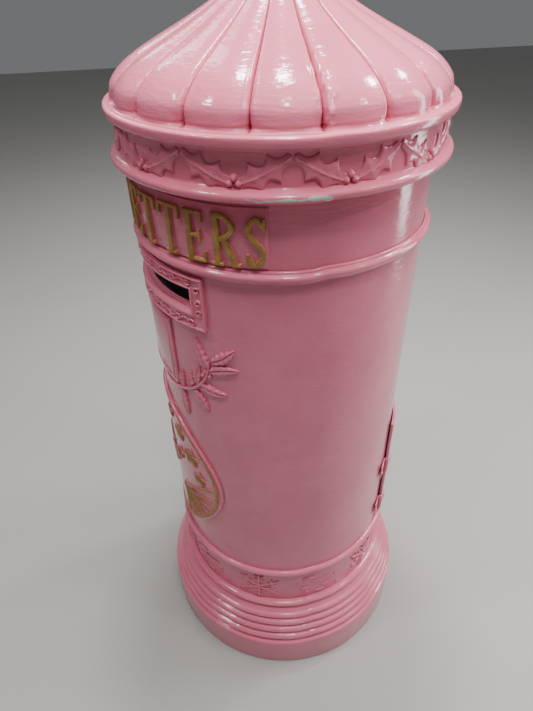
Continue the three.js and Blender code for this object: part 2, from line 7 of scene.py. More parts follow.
import logging
import math
from collections.abc import Callable, Sequence
from dataclasses import dataclass
from enum import Enum

import bpy
import numpy as np
from mathutils import Euler, Matrix, Vector
from numpy.typing import NDArray


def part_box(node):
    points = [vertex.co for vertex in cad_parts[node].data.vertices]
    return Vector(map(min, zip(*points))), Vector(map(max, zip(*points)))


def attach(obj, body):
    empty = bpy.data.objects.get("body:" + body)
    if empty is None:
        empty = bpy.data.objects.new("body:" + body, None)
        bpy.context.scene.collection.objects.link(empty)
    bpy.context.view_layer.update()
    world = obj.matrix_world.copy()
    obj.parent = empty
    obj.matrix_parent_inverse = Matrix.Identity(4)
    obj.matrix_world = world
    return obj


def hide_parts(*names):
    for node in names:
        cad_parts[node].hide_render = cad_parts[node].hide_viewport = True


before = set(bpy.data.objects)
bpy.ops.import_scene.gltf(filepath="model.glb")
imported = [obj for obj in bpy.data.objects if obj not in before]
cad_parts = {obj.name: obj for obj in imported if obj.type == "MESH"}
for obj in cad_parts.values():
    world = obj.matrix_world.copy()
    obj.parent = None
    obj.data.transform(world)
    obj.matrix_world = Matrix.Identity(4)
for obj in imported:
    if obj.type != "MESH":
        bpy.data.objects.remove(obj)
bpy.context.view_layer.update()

Array = NDArray[np.float64]
Placing = Callable[[Array, Array, Array], Array]

log = logging.getLogger("post_box")
MM = 0.001
PILLAR, DOOR, FLAP = "pillar", "door", "flap"
SHAFT_R = 168.0
BORE_R = 162.0
FLANGE_R = 140.0
WALL = 6.0
SUNK = 0.5
SEAM_AZIMUTH = 91.0
HINGE_AZIMUTH = 147.2


def node_box(node: str) -> tuple[Array, Array]:
    """Lowest and highest corner of a CAD node in millimetres."""
    low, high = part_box(node)
    return np.array(low) / MM, np.array(high) / MM


# ------------------------------------------------------------------ surfaces


def polar(azimuth: Array, radius: Array, height: Array) -> Array:
    """Points at azimuths, radii and heights.

    Formula: x is radius times sine, y is minus radius times cosine, z is the height.
    """
    turn = np.radians(azimuth)
    parts = np.broadcast_arrays(radius * np.sin(turn), -radius * np.cos(turn), height)
    return np.stack(parts, axis=-1)


def round_shaft(radius: float, azimuth: float = 0.0) -> Placing:
    """Placing that lays flat work round the pillar.

    Args:
        radius: Radius that height 0 of the work lies on.
        azimuth: Where the work's own zero goes.

    Returns:
        A function from across, up and proud distances to points.
    """

    def place(across: Array, up: Array, proud: Array) -> Array:
        """Point at distances round, up and out."""
        return polar(azimuth + np.degrees(across / radius), radius + proud, up)

    return place


def straight_on(radius: float) -> Placing:
    """Placing that drops flat work straight back onto the pillar, as seen from the front."""

    def place(across: Array, up: Array, proud: Array) -> Array:
        """Point whose azimuth has the distance across over the radius as its sine."""
        turn = np.degrees(np.arcsin(np.clip(across / radius, -0.999, 0.999)))
        return polar(turn, radius + proud, up)

    return place


def grid_quads(rows: int, columns: int, wrap_rows: bool, wrap_columns: bool) -> NDArray[np.int64]:
    """Quads of a grid of points numbered row by row.

    Args:
        rows: Number of rows of points.
        columns: Points in a row.
        wrap_rows: Whether the last row joins the first.
        wrap_columns: Whether each row closes on itself.

    Returns:
        Four point numbers for each quad.
    """
    i = np.arange(rows if wrap_rows else rows - 1)
    j = np.arange(columns if wrap_columns else columns - 1)
    ii, jj = np.meshgrid(i, j, indexing="ij")
    up, right = (ii + 1) % rows, (jj + 1) % columns
    quads = [ii * columns + jj, up * columns + jj, up * columns + right, ii * columns + right]
    return np.stack(quads, axis=-1).reshape(-1, 4)


def smooth_line(points: Sequence[Sequence[float]], count: int) -> Array:
    """Catmull-Rom curve through points.

    Formula: between two points the curve is the usual cubic blend of those two and their
    neighbours, with the end points repeated.

    Args:
        points: Points the curve passes through.
        count: Number of samples, evenly spread over the spans.

    Returns:
        The samples, one row each.
    """
    given = np.asarray(points, float)
    padded = np.vstack([2 * given[0] - given[1], given, 2 * given[-1] - given[-2]])
    along = np.linspace(0, len(given) - 1, count)
    span = np.minimum(along.astype(int), len(given) - 2)
    t = (along - span)[:, None]
    a, b, c, d = (padded[span + k] for k in range(4))
    return 0.5 * (
        2 * b + (c - a) * t + (2 * a - 5 * b + 4 * c - d) * t**2 + (3 * b - a - 3 * c + d) * t**3
    )


def softened(profile: Sequence[Sequence[float]], radius: float, steps: int = 4) -> Array:
    """Closed profile with each corner rounded by a quadratic curve.

    Formula: each corner is replaced by the curve from a point before it to a point after it,
    at the given distance or 0.45 of the side, with the corner as its control point.
    """
    corner = np.asarray(profile, float)
    before, after = np.roll(corner, 1, axis=0) - corner, np.roll(corner, -1, axis=0) - corner
    reach = [np.minimum(radius / np.maximum(np.linalg.norm(v, axis=1), 1e-9), 0.45)
             for v in (before, after)]
    start, end = corner + before * reach[0][:, None], corner + after * reach[1][:, None]
    t = np.linspace(0, 1, steps)[None, :, None]
    curve = (1 - t) ** 2 * start[:, None] + 2 * t * (1 - t) * corner[:, None] + t**2 * end[:, None]
    return curve.reshape(-1, 2)


def rough_field(first: Array, second: Array, grain: float, seed: int) -> Array:
    """Smooth random unevenness between about -1 and 1.

    Formula: the sum of fourteen plane waves of random direction, phase and length about the
    grain, over the square root of half their number.
    """
    rng = np.random.default_rng(seed)
    total = 0.0
    for turn, phase, stretch in zip(rng.uniform(0, np.pi, 14), rng.uniform(0, 2 * np.pi, 14),
                                    rng.uniform(0.6, 2.2, 14)):
        along = first * np.cos(turn) + second * np.sin(turn)
        total = total + np.sin(2 * np.pi * along / (grain * stretch) + phase)
    return total / math.sqrt(7)


def mould_shift(azimuth: Array, height: Array) -> tuple[Array, Array]:
    """Where the two halves of the mould met: a fine ridge and a small mismatch.

    Formula: the radius gains a bell-shaped ridge at the parting line and loses a shallow bell
    about it, and the rear half sits higher by a smooth step that fades out at floor and cap.

    Returns:
        What is added to the radius, and what is added to the height.
    """
    off = (np.asarray(azimuth) - SEAM_AZIMUTH + 180) % 180
    near = np.minimum(off, 180 - off)
    wander = 1 + 0.5 * np.sin(height * 0.11) + 0.3 * np.sin(height * 0.37)
    ridge = 0.5 * wander * np.exp(-((near / 0.9) ** 2)) - 0.7 * np.exp(-((near / 4.0) ** 2))
    from_rear = np.abs((np.asarray(azimuth) - SEAM_AZIMUTH - 90 + 180) % 360 - 180)
    rear = 1 / (1 + np.exp((from_rear - 90) / 0.9))
    return ridge, 2.5 * rear * np.clip(height / 60, 0, 1) * np.clip((860 - height) / 110, 0.3, 1)


@dataclass
class Shape:
    """Points and faces of one closed surface, with how recessed and how proud each point is; both
    set painted shade in the pink paint.
    """

    points: Array
    faces: list[tuple[int, ...]]
    recess: Array
    rise: Array

    @classmethod
    def of(cls, points: Array, faces: Sequence[Sequence[int]], recess: Array | None = None,
           rise: Array | None = None) -> "Shape":
        """Shape facing out, made from a grid of any number of dimensions."""
        flat = points.reshape(-1, 3)
        blank = np.zeros(len(flat))
        shape = cls(flat, [tuple(int(k) for k in f) for f in faces],
                    blank if recess is None else np.broadcast_to(recess, points.shape[:-1]).ravel(),
                    blank if rise is None else np.broadcast_to(rise, points.shape[:-1]).ravel())
        return shape.facing_out()

    def facing_out(self) -> "Shape":
        """This shape with its faces turned round if the volume they enclose is negative."""
        a = self.points[[f[0] for f in self.faces]]
        b = self.points[[f[1] for f in self.faces]]
        c = self.points[[f[2] for f in self.faces]]
        d = self.points[[f[-1] for f in self.faces]]
        volume = np.einsum("ij,ij->i", a, np.cross(b, c)).sum()
        volume += np.einsum("ij,ij->i", a, np.cross(c, d)).sum()
        if volume < 0:
            self.faces = [f[::-1] for f in self.faces]
        return self


def joined(shapes: Sequence[Shape]) -> Shape:
    """Several shapes as one, still separate closed surfaces."""
    faces: list[tuple[int, ...]] = []
    start = 0
    for shape in shapes:
        faces += [tuple(k + start for k in f) for f in shape.faces]
        start += len(shape.points)
    return Shape(np.vstack([s.points for s in shapes]), faces,
                 np.concatenate([s.recess for s in shapes]),
                 np.concatenate([s.rise for s in shapes]))


def turned(profile: Array, columns: int = 240, seam: bool = False,
           recess: Array | None = None) -> Shape:
    """Ring turned about the pillar's axis from a closed profile of radius and height.

    Args:
        profile: Closed profile, one point a row.
        columns: Steps round the axis.
        seam: Whether the mould's parting line shows.
        recess: How recessed each profile point is, which sets its painted shade.

    Returns:
        The closed ring.
    """
    azimuth = np.arange(columns)[:, None] * 360 / columns
    radius, height = profile[None, :, 0], profile[None, :, 1]
    if seam:
        ridge, lift = mould_shift(azimuth, height)
        outside = radius > BORE_R + 4
        radius, height = radius + ridge * outside, height + lift * outside
    points = polar(azimuth, radius, height)
    return Shape.of(points, grid_quads(columns, len(profile), True, True), recess)


def capped(sections: Array, recess: Array | None = None, rise: Array | None = None) -> Shape:
    """Closed surface through a row of closed sections, with a cap on each end."""
    rows, columns = sections.shape[:2]
    faces = [tuple(f) for f in grid_quads(rows, columns, False, True)]
    faces.append(tuple(range(columns - 1, -1, -1)))
    faces.append(tuple(range((rows - 1) * columns, rows * columns)))
    return Shape.of(sections, faces, recess, rise)


class StrokeEnd(Enum):
    """How a raised stroke ends."""

    TAPERED = "tapered"
    SQUARE = "square"


ROUND_SECTION = np.array([[-1, 0], [-0.9, 0.45], [-0.6, 0.82], [-0.22, 0.98], [0.22, 0.98],
                          [0.6, 0.82], [0.9, 0.45], [1, 0]])
FLAT_SECTION = np.array([[-1, 0], [-0.97, 0.62], [-0.87, 0.9], [-0.66, 1], [-0.2, 1.0],
                         [0.2, 1.0], [0.66, 1], [0.87, 0.9], [0.97, 0.62], [1, 0]])


def stroke(line: Array, width: float, height: float, place: Placing, section: Array = ROUND_SECTION,
           end: StrokeEnd = StrokeEnd.TAPERED, widen: float = 0.0) -> Shape:
    """Raised stroke along a flat line.

    Formula: at each point of the line the section is laid across the line's normal, as wide as
    the half width and as high as the height, both times a profile that falls at the two ends.

    Args:
        line: Points across and up, along the middle of the stroke.
        width: Full width.
        height: Height above the surface.
        place: Where flat points go.
        section: Half-open outline, from one side over the top to the other.
        end: How the stroke ends.
        widen: How much wider than narrow the stroke grows from its start to its end.

    Returns:
        The closed stroke, sunk a little into the surface it stands on.
    """
    tangent = np.gradient(line, axis=0)
    tangent /= np.maximum(np.linalg.norm(tangent, axis=1, keepdims=True), 1e-9)
    normal = np.stack([-tangent[:, 1], tangent[:, 0]], axis=1)
    along = np.linspace(0, 1, len(line))
    edge = np.minimum(along, 1 - along)
    if end is StrokeEnd.TAPERED:
        grow = np.sqrt(np.clip(edge / 0.28, 0.004, 1))
        tall = np.clip(edge / 0.2, 0.05, 1) ** 0.5
    else:
        length = np.linalg.norm(np.diff(line, axis=0), axis=1).sum()
        grow = np.where(edge * length < 0.05, 0.93, 1.0)
        tall = np.where(edge * length < 0.05, 0.7, 1.0)
    grow = grow * (1 + widen * along) / (1 + widen)
    loop = np.vstack([section, [[0.98, -SUNK / height], [-0.98, -SUNK / height]]])
    side = loop[None, :, 0] * (width / 2) * grow[:, None]
    lift = loop[None, :, 1] * tall[:, None]
    proud = np.where(loop[None, :, 1] > 0, lift, loop[None, :, 1]) * height
    across = line[:, None, 0] + normal[:, None, 0] * side
    up = line[:, None, 1] + normal[:, None, 1] * side
    return capped(place(across, up, proud), rise=np.clip(lift, 0, 1))


def straight(start: Sequence[float], finish: Sequence[float], count: int = 9) -> Array:
    """Straight line of points with a close pair at each end, for a bevelled stroke end."""
    t = np.concatenate([[0, 0.02], np.linspace(0.1, 0.9, count), [0.98, 1]])[:, None]
    return np.asarray(start, float) * (1 - t) + np.asarray(finish, float) * t


def leaf(base: Sequence[float], tip: Sequence[float], width: float, height: float, place: Placing,
         spikes: int = 0, bend: float = 0.0) -> Shape:
    """Raised leaf with a sunk midrib and side veins.

    Formula: the half width is a sine hump along the leaf, with a wavy edge or, on a spiked
    leaf, cut between the spikes by arcs. The
    height is a flat-topped hump across it, less a narrow groove on the midrib, which is a ridge
    on a spiked leaf, and shallow slanting grooves for the veins. The midrib bows sideways as a
    parabola.

    Args:
        base: Stalk end, across and up.
        tip: Pointed end, across and up.
        width: Full width at the widest.
        height: Height above the surface.
        place: Where flat points go.
        spikes: Spikes along each side: none gives a plain pointed leaf.
        bend: Sideways bow of the midrib, as a share of the length.

    Returns:
        The closed leaf.
    """
    start, run = np.asarray(base, float), np.asarray(tip, float) - np.asarray(base, float)
    length = float(np.linalg.norm(run))
    side = np.array([-run[1], run[0]]) / length
    s = np.linspace(0, 1, 37 if spikes == 0 else 12 * spikes + 13)
    hump = np.clip(np.sin(np.pi * s**0.85), 0, 1) ** 0.75 * (0.88 + 0.12 * np.cos(11 * np.pi * s))
    if spikes:
        arc = np.sin(np.pi * ((s * (spikes + 1)) % 1.0))
        hump = np.clip(np.sin(np.pi * s**0.8), 0, 1) ** 0.5 * (1 - 0.55 * arc**0.8)
    half = np.maximum(width / 2 * hump, 0.12)
    t = np.linspace(-1, 1, 13)
    distance = t[None, :] * half[:, None]
    top = height * (1 - 0.5 * np.abs(t[None, :]) ** 6) * (0.45 + 0.55 * np.sqrt(hump))[:, None]
    if spikes:
        top = top + 0.35 * height * np.exp(-((distance / 0.9) ** 2)) - 0.18 * height
    else:
        top = top - 0.4 * height * np.exp(-((distance / 0.8) ** 2))
    vein = np.cos(2 * np.pi * (s[:, None] * 5 - np.abs(t[None, :]) * 0.9))
    top = top - 0.12 * height * np.clip(vein, 0, 1) ** 3 * (np.abs(t[None, :]) < 0.85)
    bow = 4 * bend * length * s * (1 - s)
    under = np.full((len(s), 2), -SUNK)
    offset = np.hstack([distance, distance[:, -1:], distance[:, :1]]) + bow[:, None]
    proud = np.hstack([top, under])
    across = start[0] + run[0] * s[:, None] + side[0] * offset
    up = start[1] + run[1] * s[:, None] + side[1] * offset
    return capped(place(across, up, proud), rise=np.clip(proud / height, 0, 1))


def bead(centre: Sequence[float], radius: float, height: float, place: Placing) -> Shape:
    """Small raised dome.

    Formula: rings of a half ellipsoid from its foot to near its pole, closed by a flat foot.
    """
    lift = np.linspace(-0.35, 1.4, 6)[:, None]
    turn = np.linspace(0, 2 * np.pi, 14, endpoint=False)[None, :]
    ring = radius * np.cos(np.clip(lift, 0, None))
    across = centre[0] + ring * np.cos(turn)
    up = centre[1] + ring * np.sin(turn)
    proud = np.broadcast_to(height * np.sin(lift), across.shape)
    return capped(place(across, up, proud), rise=np.clip(np.sin(lift), 0, 1))


def plate(azimuths: tuple[float, float], heights: tuple[float, float], radii: tuple[float, float],
          bevel: float) -> Shape:
    """Curved plate on the pillar with bevelled edges.

    Formula: a bevelled rectangle in height and radius is carried from one azimuth to the other,
    and its outer face drops by the bevel over the last stretch at each end.
    """
    low, high = heights
    inner, outer = radii
    section = np.array([[low, inner], [low, outer - bevel],
                        [low + 0.3 * bevel, outer - 0.3 * bevel],
                        [low + bevel, outer], [(low + high) / 2, outer], [high - bevel, outer],
                        [high - 0.3 * bevel, outer - 0.3 * bevel], [high, outer - bevel],
                        [high, inner]])
    run = azimuths[1] - azimuths[0]
    slim = np.degrees(bevel / outer) / run
    middle = np.linspace(0, 1, max(8, int(run / 1.5)))[1:-1]
    share = np.concatenate([[0, 0.3 * slim, slim], middle, [1 - slim, 1 - 0.3 * slim, 1]])
    drop = np.zeros(len(share))
    drop[[0, -1]], drop[[1, -2]] = bevel, 0.3 * bevel
    radius = np.minimum(section[None, :, 1], (outer - drop)[:, None])
    azimuth = azimuths[0] + run * share[:, None]
    return capped(polar(azimuth, radius, np.broadcast_to(section[None, :, 0], radius.shape)))


def framed(window: tuple[float, float, float], section: Array, sides: tuple[float, float, float],
           place: Placing, turns: int = 40) -> Shape:
    """Picture-frame moulding round a window.

    Formula: each section point sits outside the window by its own distance, times the scale of
    the side it is on, so the corners are mitred.

    Args:
        window: Half width, lowest and highest edge of the window.
        section: Closed section: distance outside the window, and height.
        sides: Scale of that distance at the ends, below and above.
        place: Where flat points go.
        turns: Steps along each long side.

    Returns:
        The closed frame.
    """
    half, low, high = window
    t = np.linspace(-1, 1, turns)
    ends = np.array([-0.5, 0.0, 0.5])
    x = np.concatenate([t, np.full(3, 1.0), t[::-1], np.full(3, -1.0)])
    z = np.concatenate([np.full(turns, -1.0), ends, np.full(turns, 1.0), ends[::-1]])
    away, proud = section[None, :, 0], section[None, :, 1]
    across = x[:, None] * (half + away * sides[0])
    middle, reach = (low + high) / 2, (high - low) / 2
    grow = np.where(z < 0, sides[1], sides[2])[:, None]
    up = middle + z[:, None] * (reach + away * grow)
    points = place(across, up, np.broadcast_to(proud, across.shape))
    return Shape.of(points, grid_quads(len(x), len(section), True, True))


# ------------------------------------------------------------------ finishes


class Nodes:
    """Short hand for wiring a node tree."""

    def __init__(self, tree: bpy.types.NodeTree) -> None:
        """Keeps the tree."""
        self.tree = tree

    def add(self, kind: str, **settings: object) -> bpy.types.Node:
        """New node with properties set by name and inputs set or linked by name.

        Args:
            kind: Node type, without its common prefix.
            settings: Properties in lower case, inputs capitalised with underscores for spaces.

        Returns:
            The node.
        """
        node = self.tree.nodes.new("ShaderNode" + kind)
        for key, value in settings.items():
            if key[0].isupper():
                self.feed(node.inputs[key.replace("_", " ")], value)
            else:
                setattr(node, key, value)
        return node

    def feed(self, socket: bpy.types.NodeSocket, value: object) -> None:
        """Links a socket to another, or sets its value."""
        if isinstance(value, bpy.types.NodeSocket):
            self.tree.links.new(value, socket)
        else:
            socket.default_value = value

    def maths(self, operation: str, *values: object, clamp: bool = False) -> bpy.types.NodeSocket:
        """Result of a Math node."""
        node = self.add("Math", operation=operation, use_clamp=clamp)
        for socket, value in zip(node.inputs, values):
            self.feed(socket, value)
        return node.outputs[0]

    def ramp(self, value: object, low: float, high: float) -> bpy.types.NodeSocket:
        """Smooth 0 to 1 as a value passes from low to high."""
        node = self.add("MapRange", interpolation_type="SMOOTHSTEP", Value=value)
        node.inputs["From Min"].default_value = low
        node.inputs["From Max"].default_value = high
        return node.outputs["Result"]

    def mix(self, share: object, first: object, second: object) -> bpy.types.NodeSocket:
        """Mix of two colours."""
        node = self.add("Mix", data_type="RGBA")
        self.feed(node.inputs[0], share)
        self.feed(node.inputs[6], first)
        self.feed(node.inputs[7], second)
        return node.outputs[2]

    def noise(self, vector: object, scale: float, detail: float = 3.0,
              rough: float = 0.5) -> bpy.types.NodeSocket:
        """Noise value at a scale in metres."""
        node = self.add("TexNoise", Vector=vector, Scale=scale, Detail=detail, Roughness=rough)
        return node.outputs[0]

    def stretched(self, vector: object, scale: Sequence[float]) -> bpy.types.NodeSocket:
        """Coordinates scaled along each axis."""
        return self.add("Mapping", Vector=vector, Scale=tuple(scale)).outputs[0]


def new_group(name: str, inputs: dict[str, float], outputs: Sequence[str]) -> tuple[
        bpy.types.NodeTree, Nodes, bpy.types.Node, bpy.types.Node]:
    """Empty shader group with a vector input, named numbers and named number outputs."""
    tree = bpy.data.node_groups.new(name, "ShaderNodeTree")
    tree.interface.new_socket("Vector", in_out="INPUT", socket_type="NodeSocketVector")
    for key, value in inputs.items():
        socket = tree.interface.new_socket(key, in_out="INPUT", socket_type="NodeSocketFloat")
        socket.default_value = value
    for key in outputs:
        tree.interface.new_socket(key, in_out="OUTPUT", socket_type="NodeSocketFloat")
    nodes = Nodes(tree)
    return tree, nodes, tree.nodes.new("NodeGroupInput"), tree.nodes.new("NodeGroupOutput")


def brushed_coat_group() -> bpy.types.NodeTree:
    """Hand-brushed gloss paint: long brush marks, orange peel and slow patches of tone."""
    tree, nodes, start, end = new_group(
        "brushed_coat", {"Marks": 1.0, "Peel": 1.0}, ["Height", "Tone", "Gloss"])
    vector = start.outputs["Vector"]
    marks = nodes.noise(nodes.stretched(vector, (90, 90, 420)), 1.0, 2.0)
    peel = nodes.noise(vector, 240.0, 2.0)
    waves = nodes.noise(vector, 16.0, 2.0)
    tone = nodes.noise(vector, 7.0, 4.0, 0.6)
    marks = nodes.maths("MULTIPLY", marks, start.outputs["Marks"])
    peel = nodes.maths("MULTIPLY", nodes.maths("MULTIPLY", peel, 0.35), start.outputs["Peel"])
    waves = nodes.maths("MULTIPLY", waves, 2.2)
    height = nodes.maths("ADD", nodes.maths("ADD", marks, peel), waves)
    nodes.feed(end.inputs["Height"], height)
    nodes.feed(end.inputs["Tone"], tone)
    nodes.feed(end.inputs["Gloss"], nodes.noise(vector, 38.0, 3.0, 0.6))
    return tree


def handling_group() -> bpy.types.NodeTree:
    """Marks of handling: specks of dust and fine scuffs, as two masks."""
    tree, nodes, start, end = new_group("handling", {"Amount": 1.0}, ["Dust", "Scuff"])
    vector = start.outputs["Vector"]
    specks = nodes.add("TexVoronoi", Vector=vector, Scale=95.0, Randomness=1.0)
    dust = nodes.ramp(specks.outputs["Distance"], 0.09, 0.045)
    sparse = nodes.ramp(nodes.noise(vector, 21.0, 2.0), 0.56, 0.68)
    scuffs = nodes.noise(nodes.stretched(vector, (60, 60, 900)), 1.0, 4.0, 0.7)
    scuff = nodes.ramp(scuffs, 0.64, 0.74)
    for key, mask in (("Dust", nodes.maths("MULTIPLY", dust, sparse)), ("Scuff", scuff)):
        nodes.feed(end.inputs[key], nodes.maths("MULTIPLY", mask, start.outputs["Amount"]))
    return tree


@dataclass(frozen=True)
class Finish:
    """A finish: its name, the record's slot and how to wire it."""

    name: str
    slot: str

    def wire(self, nodes: Nodes, shader: bpy.types.Node, place: bpy.types.NodeSocket) -> None:
        """Wires the finish into the shader. Each finish does its own."""
        raise NotImplementedError

    def material(self) -> bpy.types.Material:
        """The finish's material, made on first use."""
        found = bpy.data.materials.get("pb_" + self.name)
        if found:
            return found
        made = bpy.data.materials.new("pb_" + self.name)
        made.use_nodes = True
        tree = made.node_tree
        nodes = Nodes(tree)
        shader = next(n for n in tree.nodes if n.type == "BSDF_PRINCIPLED")
        place = nodes.add("TexCoord").outputs["Object"]
        self.wire(nodes, shader, place)
        return made

    def grouped(self, nodes: Nodes, maker: Callable[[], bpy.types.NodeTree],
                place: bpy.types.NodeSocket, **values: float) -> bpy.types.Node:
        """Node of a shared effect group, with this finish's own values."""
        name = maker.__name__.removesuffix("_group")
        node = nodes.add("Group", node_tree=bpy.data.node_groups.get(name) or maker())
        nodes.feed(node.inputs["Vector"], place)
        for key, value in values.items():
            node.inputs[key].default_value = value
        return node

    def bump(self, nodes: Nodes, shader: bpy.types.Node, height: object, strength: float,
             distance: float) -> None:
        """Feeds a height to the shader's normal."""
        node = nodes.add("Bump", Height=height, Strength=strength, Distance=distance)
        nodes.feed(shader.inputs["Normal"], node.outputs[0])


@dataclass(frozen=True)
class PinkPaint(Finish):
    """Glossy brushed pink paint, deeper pink where painted shade darkens recesses and the sides of
    raised work.
    """

    name: str = "pink_gloss_paint"
    slot: str = "pink_gloss_paint"
    light: tuple[float, float, float, float] = (0.73, 0.186, 0.275, 1)
    dark: tuple[float, float, float, float] = (0.67, 0.160, 0.240, 1)
    # Painted shade: the deep pink laid into recesses and onto the sides of raised work.
    pooled: tuple[float, float, float, float] = (0.48, 0.070, 0.125, 1)
    dust: tuple[float, float, float, float] = (0.75, 0.62, 0.62, 1)
    bare: tuple[float, float, float, float] = (0.50, 0.53, 0.47, 1)
    rough: tuple[float, float] = (0.08, 0.2)
    chip: bool = False
    chip_azimuth: float = 80.5
    chip_spread: float = 13.0
    chip_height: float = 0.8118

    def wire(self, nodes: Nodes, shader: bpy.types.Node, place: bpy.types.NodeSocket) -> None:
        """Paint colour, painted shade in recesses and on the sides of raised work, dust, gloss and
        brush marks.
        """
        coat = self.grouped(nodes, brushed_coat_group, place, Marks=1.0, Peel=1.0)
        marks = self.grouped(nodes, handling_group, place, Amount=0.5)
        recess = nodes.add("Attribute", attribute_name="recess").outputs["Fac"]
        rise = nodes.add("Attribute", attribute_name="rise").outputs["Fac"]
        tone = nodes.ramp(coat.outputs["Tone"], 0.35, 0.65)
        colour = nodes.mix(tone, self.light, self.dark)
        # Painted shade: the recess attribute and the sides of raised work (rise between its ends)
        # darken the paint towards a deep pink.
        edge = nodes.maths("MULTIPLY", nodes.ramp(rise, 0.02, 0.35), nodes.ramp(rise, 0.7, 0.35))
        pooled = nodes.maths("MAXIMUM", recess, nodes.maths("MULTIPLY", edge, 0.4), clamp=True)
        colour = nodes.mix(pooled, colour, self.pooled)
        colour = nodes.mix(nodes.maths("MULTIPLY", marks.outputs["Dust"], 0.5), colour, self.dust)
        spread = nodes.maths("MULTIPLY", coat.outputs["Gloss"], self.rough[1] - self.rough[0])
        rough = nodes.maths("ADD", spread, self.rough[0])
        rough = nodes.maths("ADD", rough, nodes.maths("MULTIPLY", marks.outputs["Scuff"], 0.1))
        if self.chip:
            bare = self.bare_patch(nodes, place)
            colour = nodes.mix(bare, colour, self.bare)
            rough = nodes.maths("ADD", rough, nodes.maths("MULTIPLY", bare, 0.4))
        nodes.feed(shader.inputs["Base Color"], colour)
        nodes.feed(shader.inputs["Roughness"], rough)
        shader.inputs["Specular IOR Level"].default_value = 0.5
        shader.inputs["Coat Weight"].default_value = 0.2
        shader.inputs["Coat Roughness"].default_value = 0.06
        self.bump(nodes, shader, coat.outputs["Height"], 0.55, 0.0008)

    def bare_patch(self, nodes: Nodes, place: bpy.types.NodeSocket) -> bpy.types.NodeSocket:
        """Mask of the one bare patch, on the upper ring's outer edge at the box's left side."""
        x, y, z = nodes.add("SeparateXYZ", Vector=place).outputs
        angle = nodes.maths("ARCTAN2", x, nodes.maths("MULTIPLY", y, -1.0))
        ragged = nodes.noise(place, 110.0, 4.0, 0.65)
        slow = nodes.noise(place, 30.0, 2.0)
        middle, half = math.radians(self.chip_azimuth), math.radians(self.chip_spread)
        away = nodes.maths("ABSOLUTE", nodes.maths("SUBTRACT", angle, middle))
        share = nodes.maths("DIVIDE", away, half)
        along = nodes.maths("ADD", share, nodes.maths("MULTIPLY", ragged, 0.5))
        along = nodes.ramp(along, 1.2, 1.05)
        high = nodes.maths("SUBTRACT", z, self.chip_height)
        wander = nodes.maths("MULTIPLY", nodes.maths("SUBTRACT", slow, 0.5), 0.012)
        band = nodes.maths("ABSOLUTE", nodes.maths("SUBTRACT", high, wander))
        rough_edge = nodes.maths("MULTIPLY", ragged, 0.006)
        thin = nodes.maths("MULTIPLY", nodes.ramp(angle, 1.56, 1.22), 0.0016)
        band = nodes.maths("ADD", nodes.maths("ADD", band, rough_edge), thin)
        inside = nodes.ramp(band, 0.0052, 0.0047)
        return nodes.maths("MULTIPLY", along, inside)


@dataclass(frozen=True)
class GoldPaint(Finish):
    """Dull antique gold brushed over raised work, with pink left on the low sides."""

    name: str = "antique_gold_paint"
    slot: str = "antique_gold_paint"
    gold: tuple[float, float, float, float] = (0.46, 0.265, 0.07, 1)
    dull: tuple[float, float, float, float] = (0.31, 0.175, 0.05, 1)
    under: tuple[float, float, float, float] = (0.66, 0.18, 0.25, 1)

    def wire(self, nodes: Nodes, shader: bpy.types.Node, place: bpy.types.NodeSocket) -> None:
        """Gold above a ragged paint line, pink below it."""
        coat = self.grouped(nodes, brushed_coat_group, place, Marks=1.6, Peel=1.5)
        rise = nodes.add("Attribute", attribute_name="rise").outputs["Fac"]
        ragged = nodes.maths("MULTIPLY", nodes.noise(place, 300.0, 3.0), 0.5)
        cover = nodes.ramp(nodes.maths("ADD", rise, ragged), 0.62, 0.82)
        patches = nodes.ramp(nodes.noise(place, 90.0, 4.0, 0.7), 0.38, 0.62)
        gold = nodes.mix(patches, self.gold, self.dull)
        nodes.feed(shader.inputs["Base Color"], nodes.mix(cover, self.under, gold))
        nodes.feed(shader.inputs["Metallic"], nodes.maths("MULTIPLY", cover, 0.35))
        spread = nodes.maths("MULTIPLY", coat.outputs["Gloss"], 0.25)
        nodes.feed(shader.inputs["Roughness"], nodes.maths("ADD", spread, 0.33))
        self.bump(nodes, shader, coat.outputs["Height"], 0.4, 0.0008)


@dataclass(frozen=True)
class Metal(Finish):
    """Bare or plated metal with fine grain and patches of tarnish."""

    name: str = "zinc_plated_steel"
    slot: str = "zinc_plated_steel"
    bright: tuple[float, float, float, float] = (0.52, 0.52, 0.54, 1)
    tarnish: tuple[float, float, float, float] = (0.33, 0.32, 0.31, 1)
    rough: float = 0.28
    grain: tuple[float, float, float] = (300, 300, 1800)

    def wire(self, nodes: Nodes, shader: bpy.types.Node, place: bpy.types.NodeSocket) -> None:
        """Tarnish patches, directional grain and a fine bump."""
        marks = self.grouped(nodes, handling_group, place, Amount=1.0)
        patches = nodes.ramp(nodes.noise(place, 55.0, 5.0, 0.65), 0.4, 0.62)
        nodes.feed(shader.inputs["Base Color"], nodes.mix(patches, self.bright, self.tarnish))
        grain = nodes.noise(nodes.stretched(place, self.grain), 1.0, 3.0)
        rough = nodes.maths("ADD", nodes.maths("MULTIPLY", grain, 0.2), self.rough)
        rough = nodes.maths("ADD", rough, nodes.maths("MULTIPLY", marks.outputs["Scuff"], 0.15))
        nodes.feed(shader.inputs["Roughness"], rough)
        shader.inputs["Metallic"].default_value = 1.0
        self.bump(nodes, shader, grain, 0.25, 0.0002)


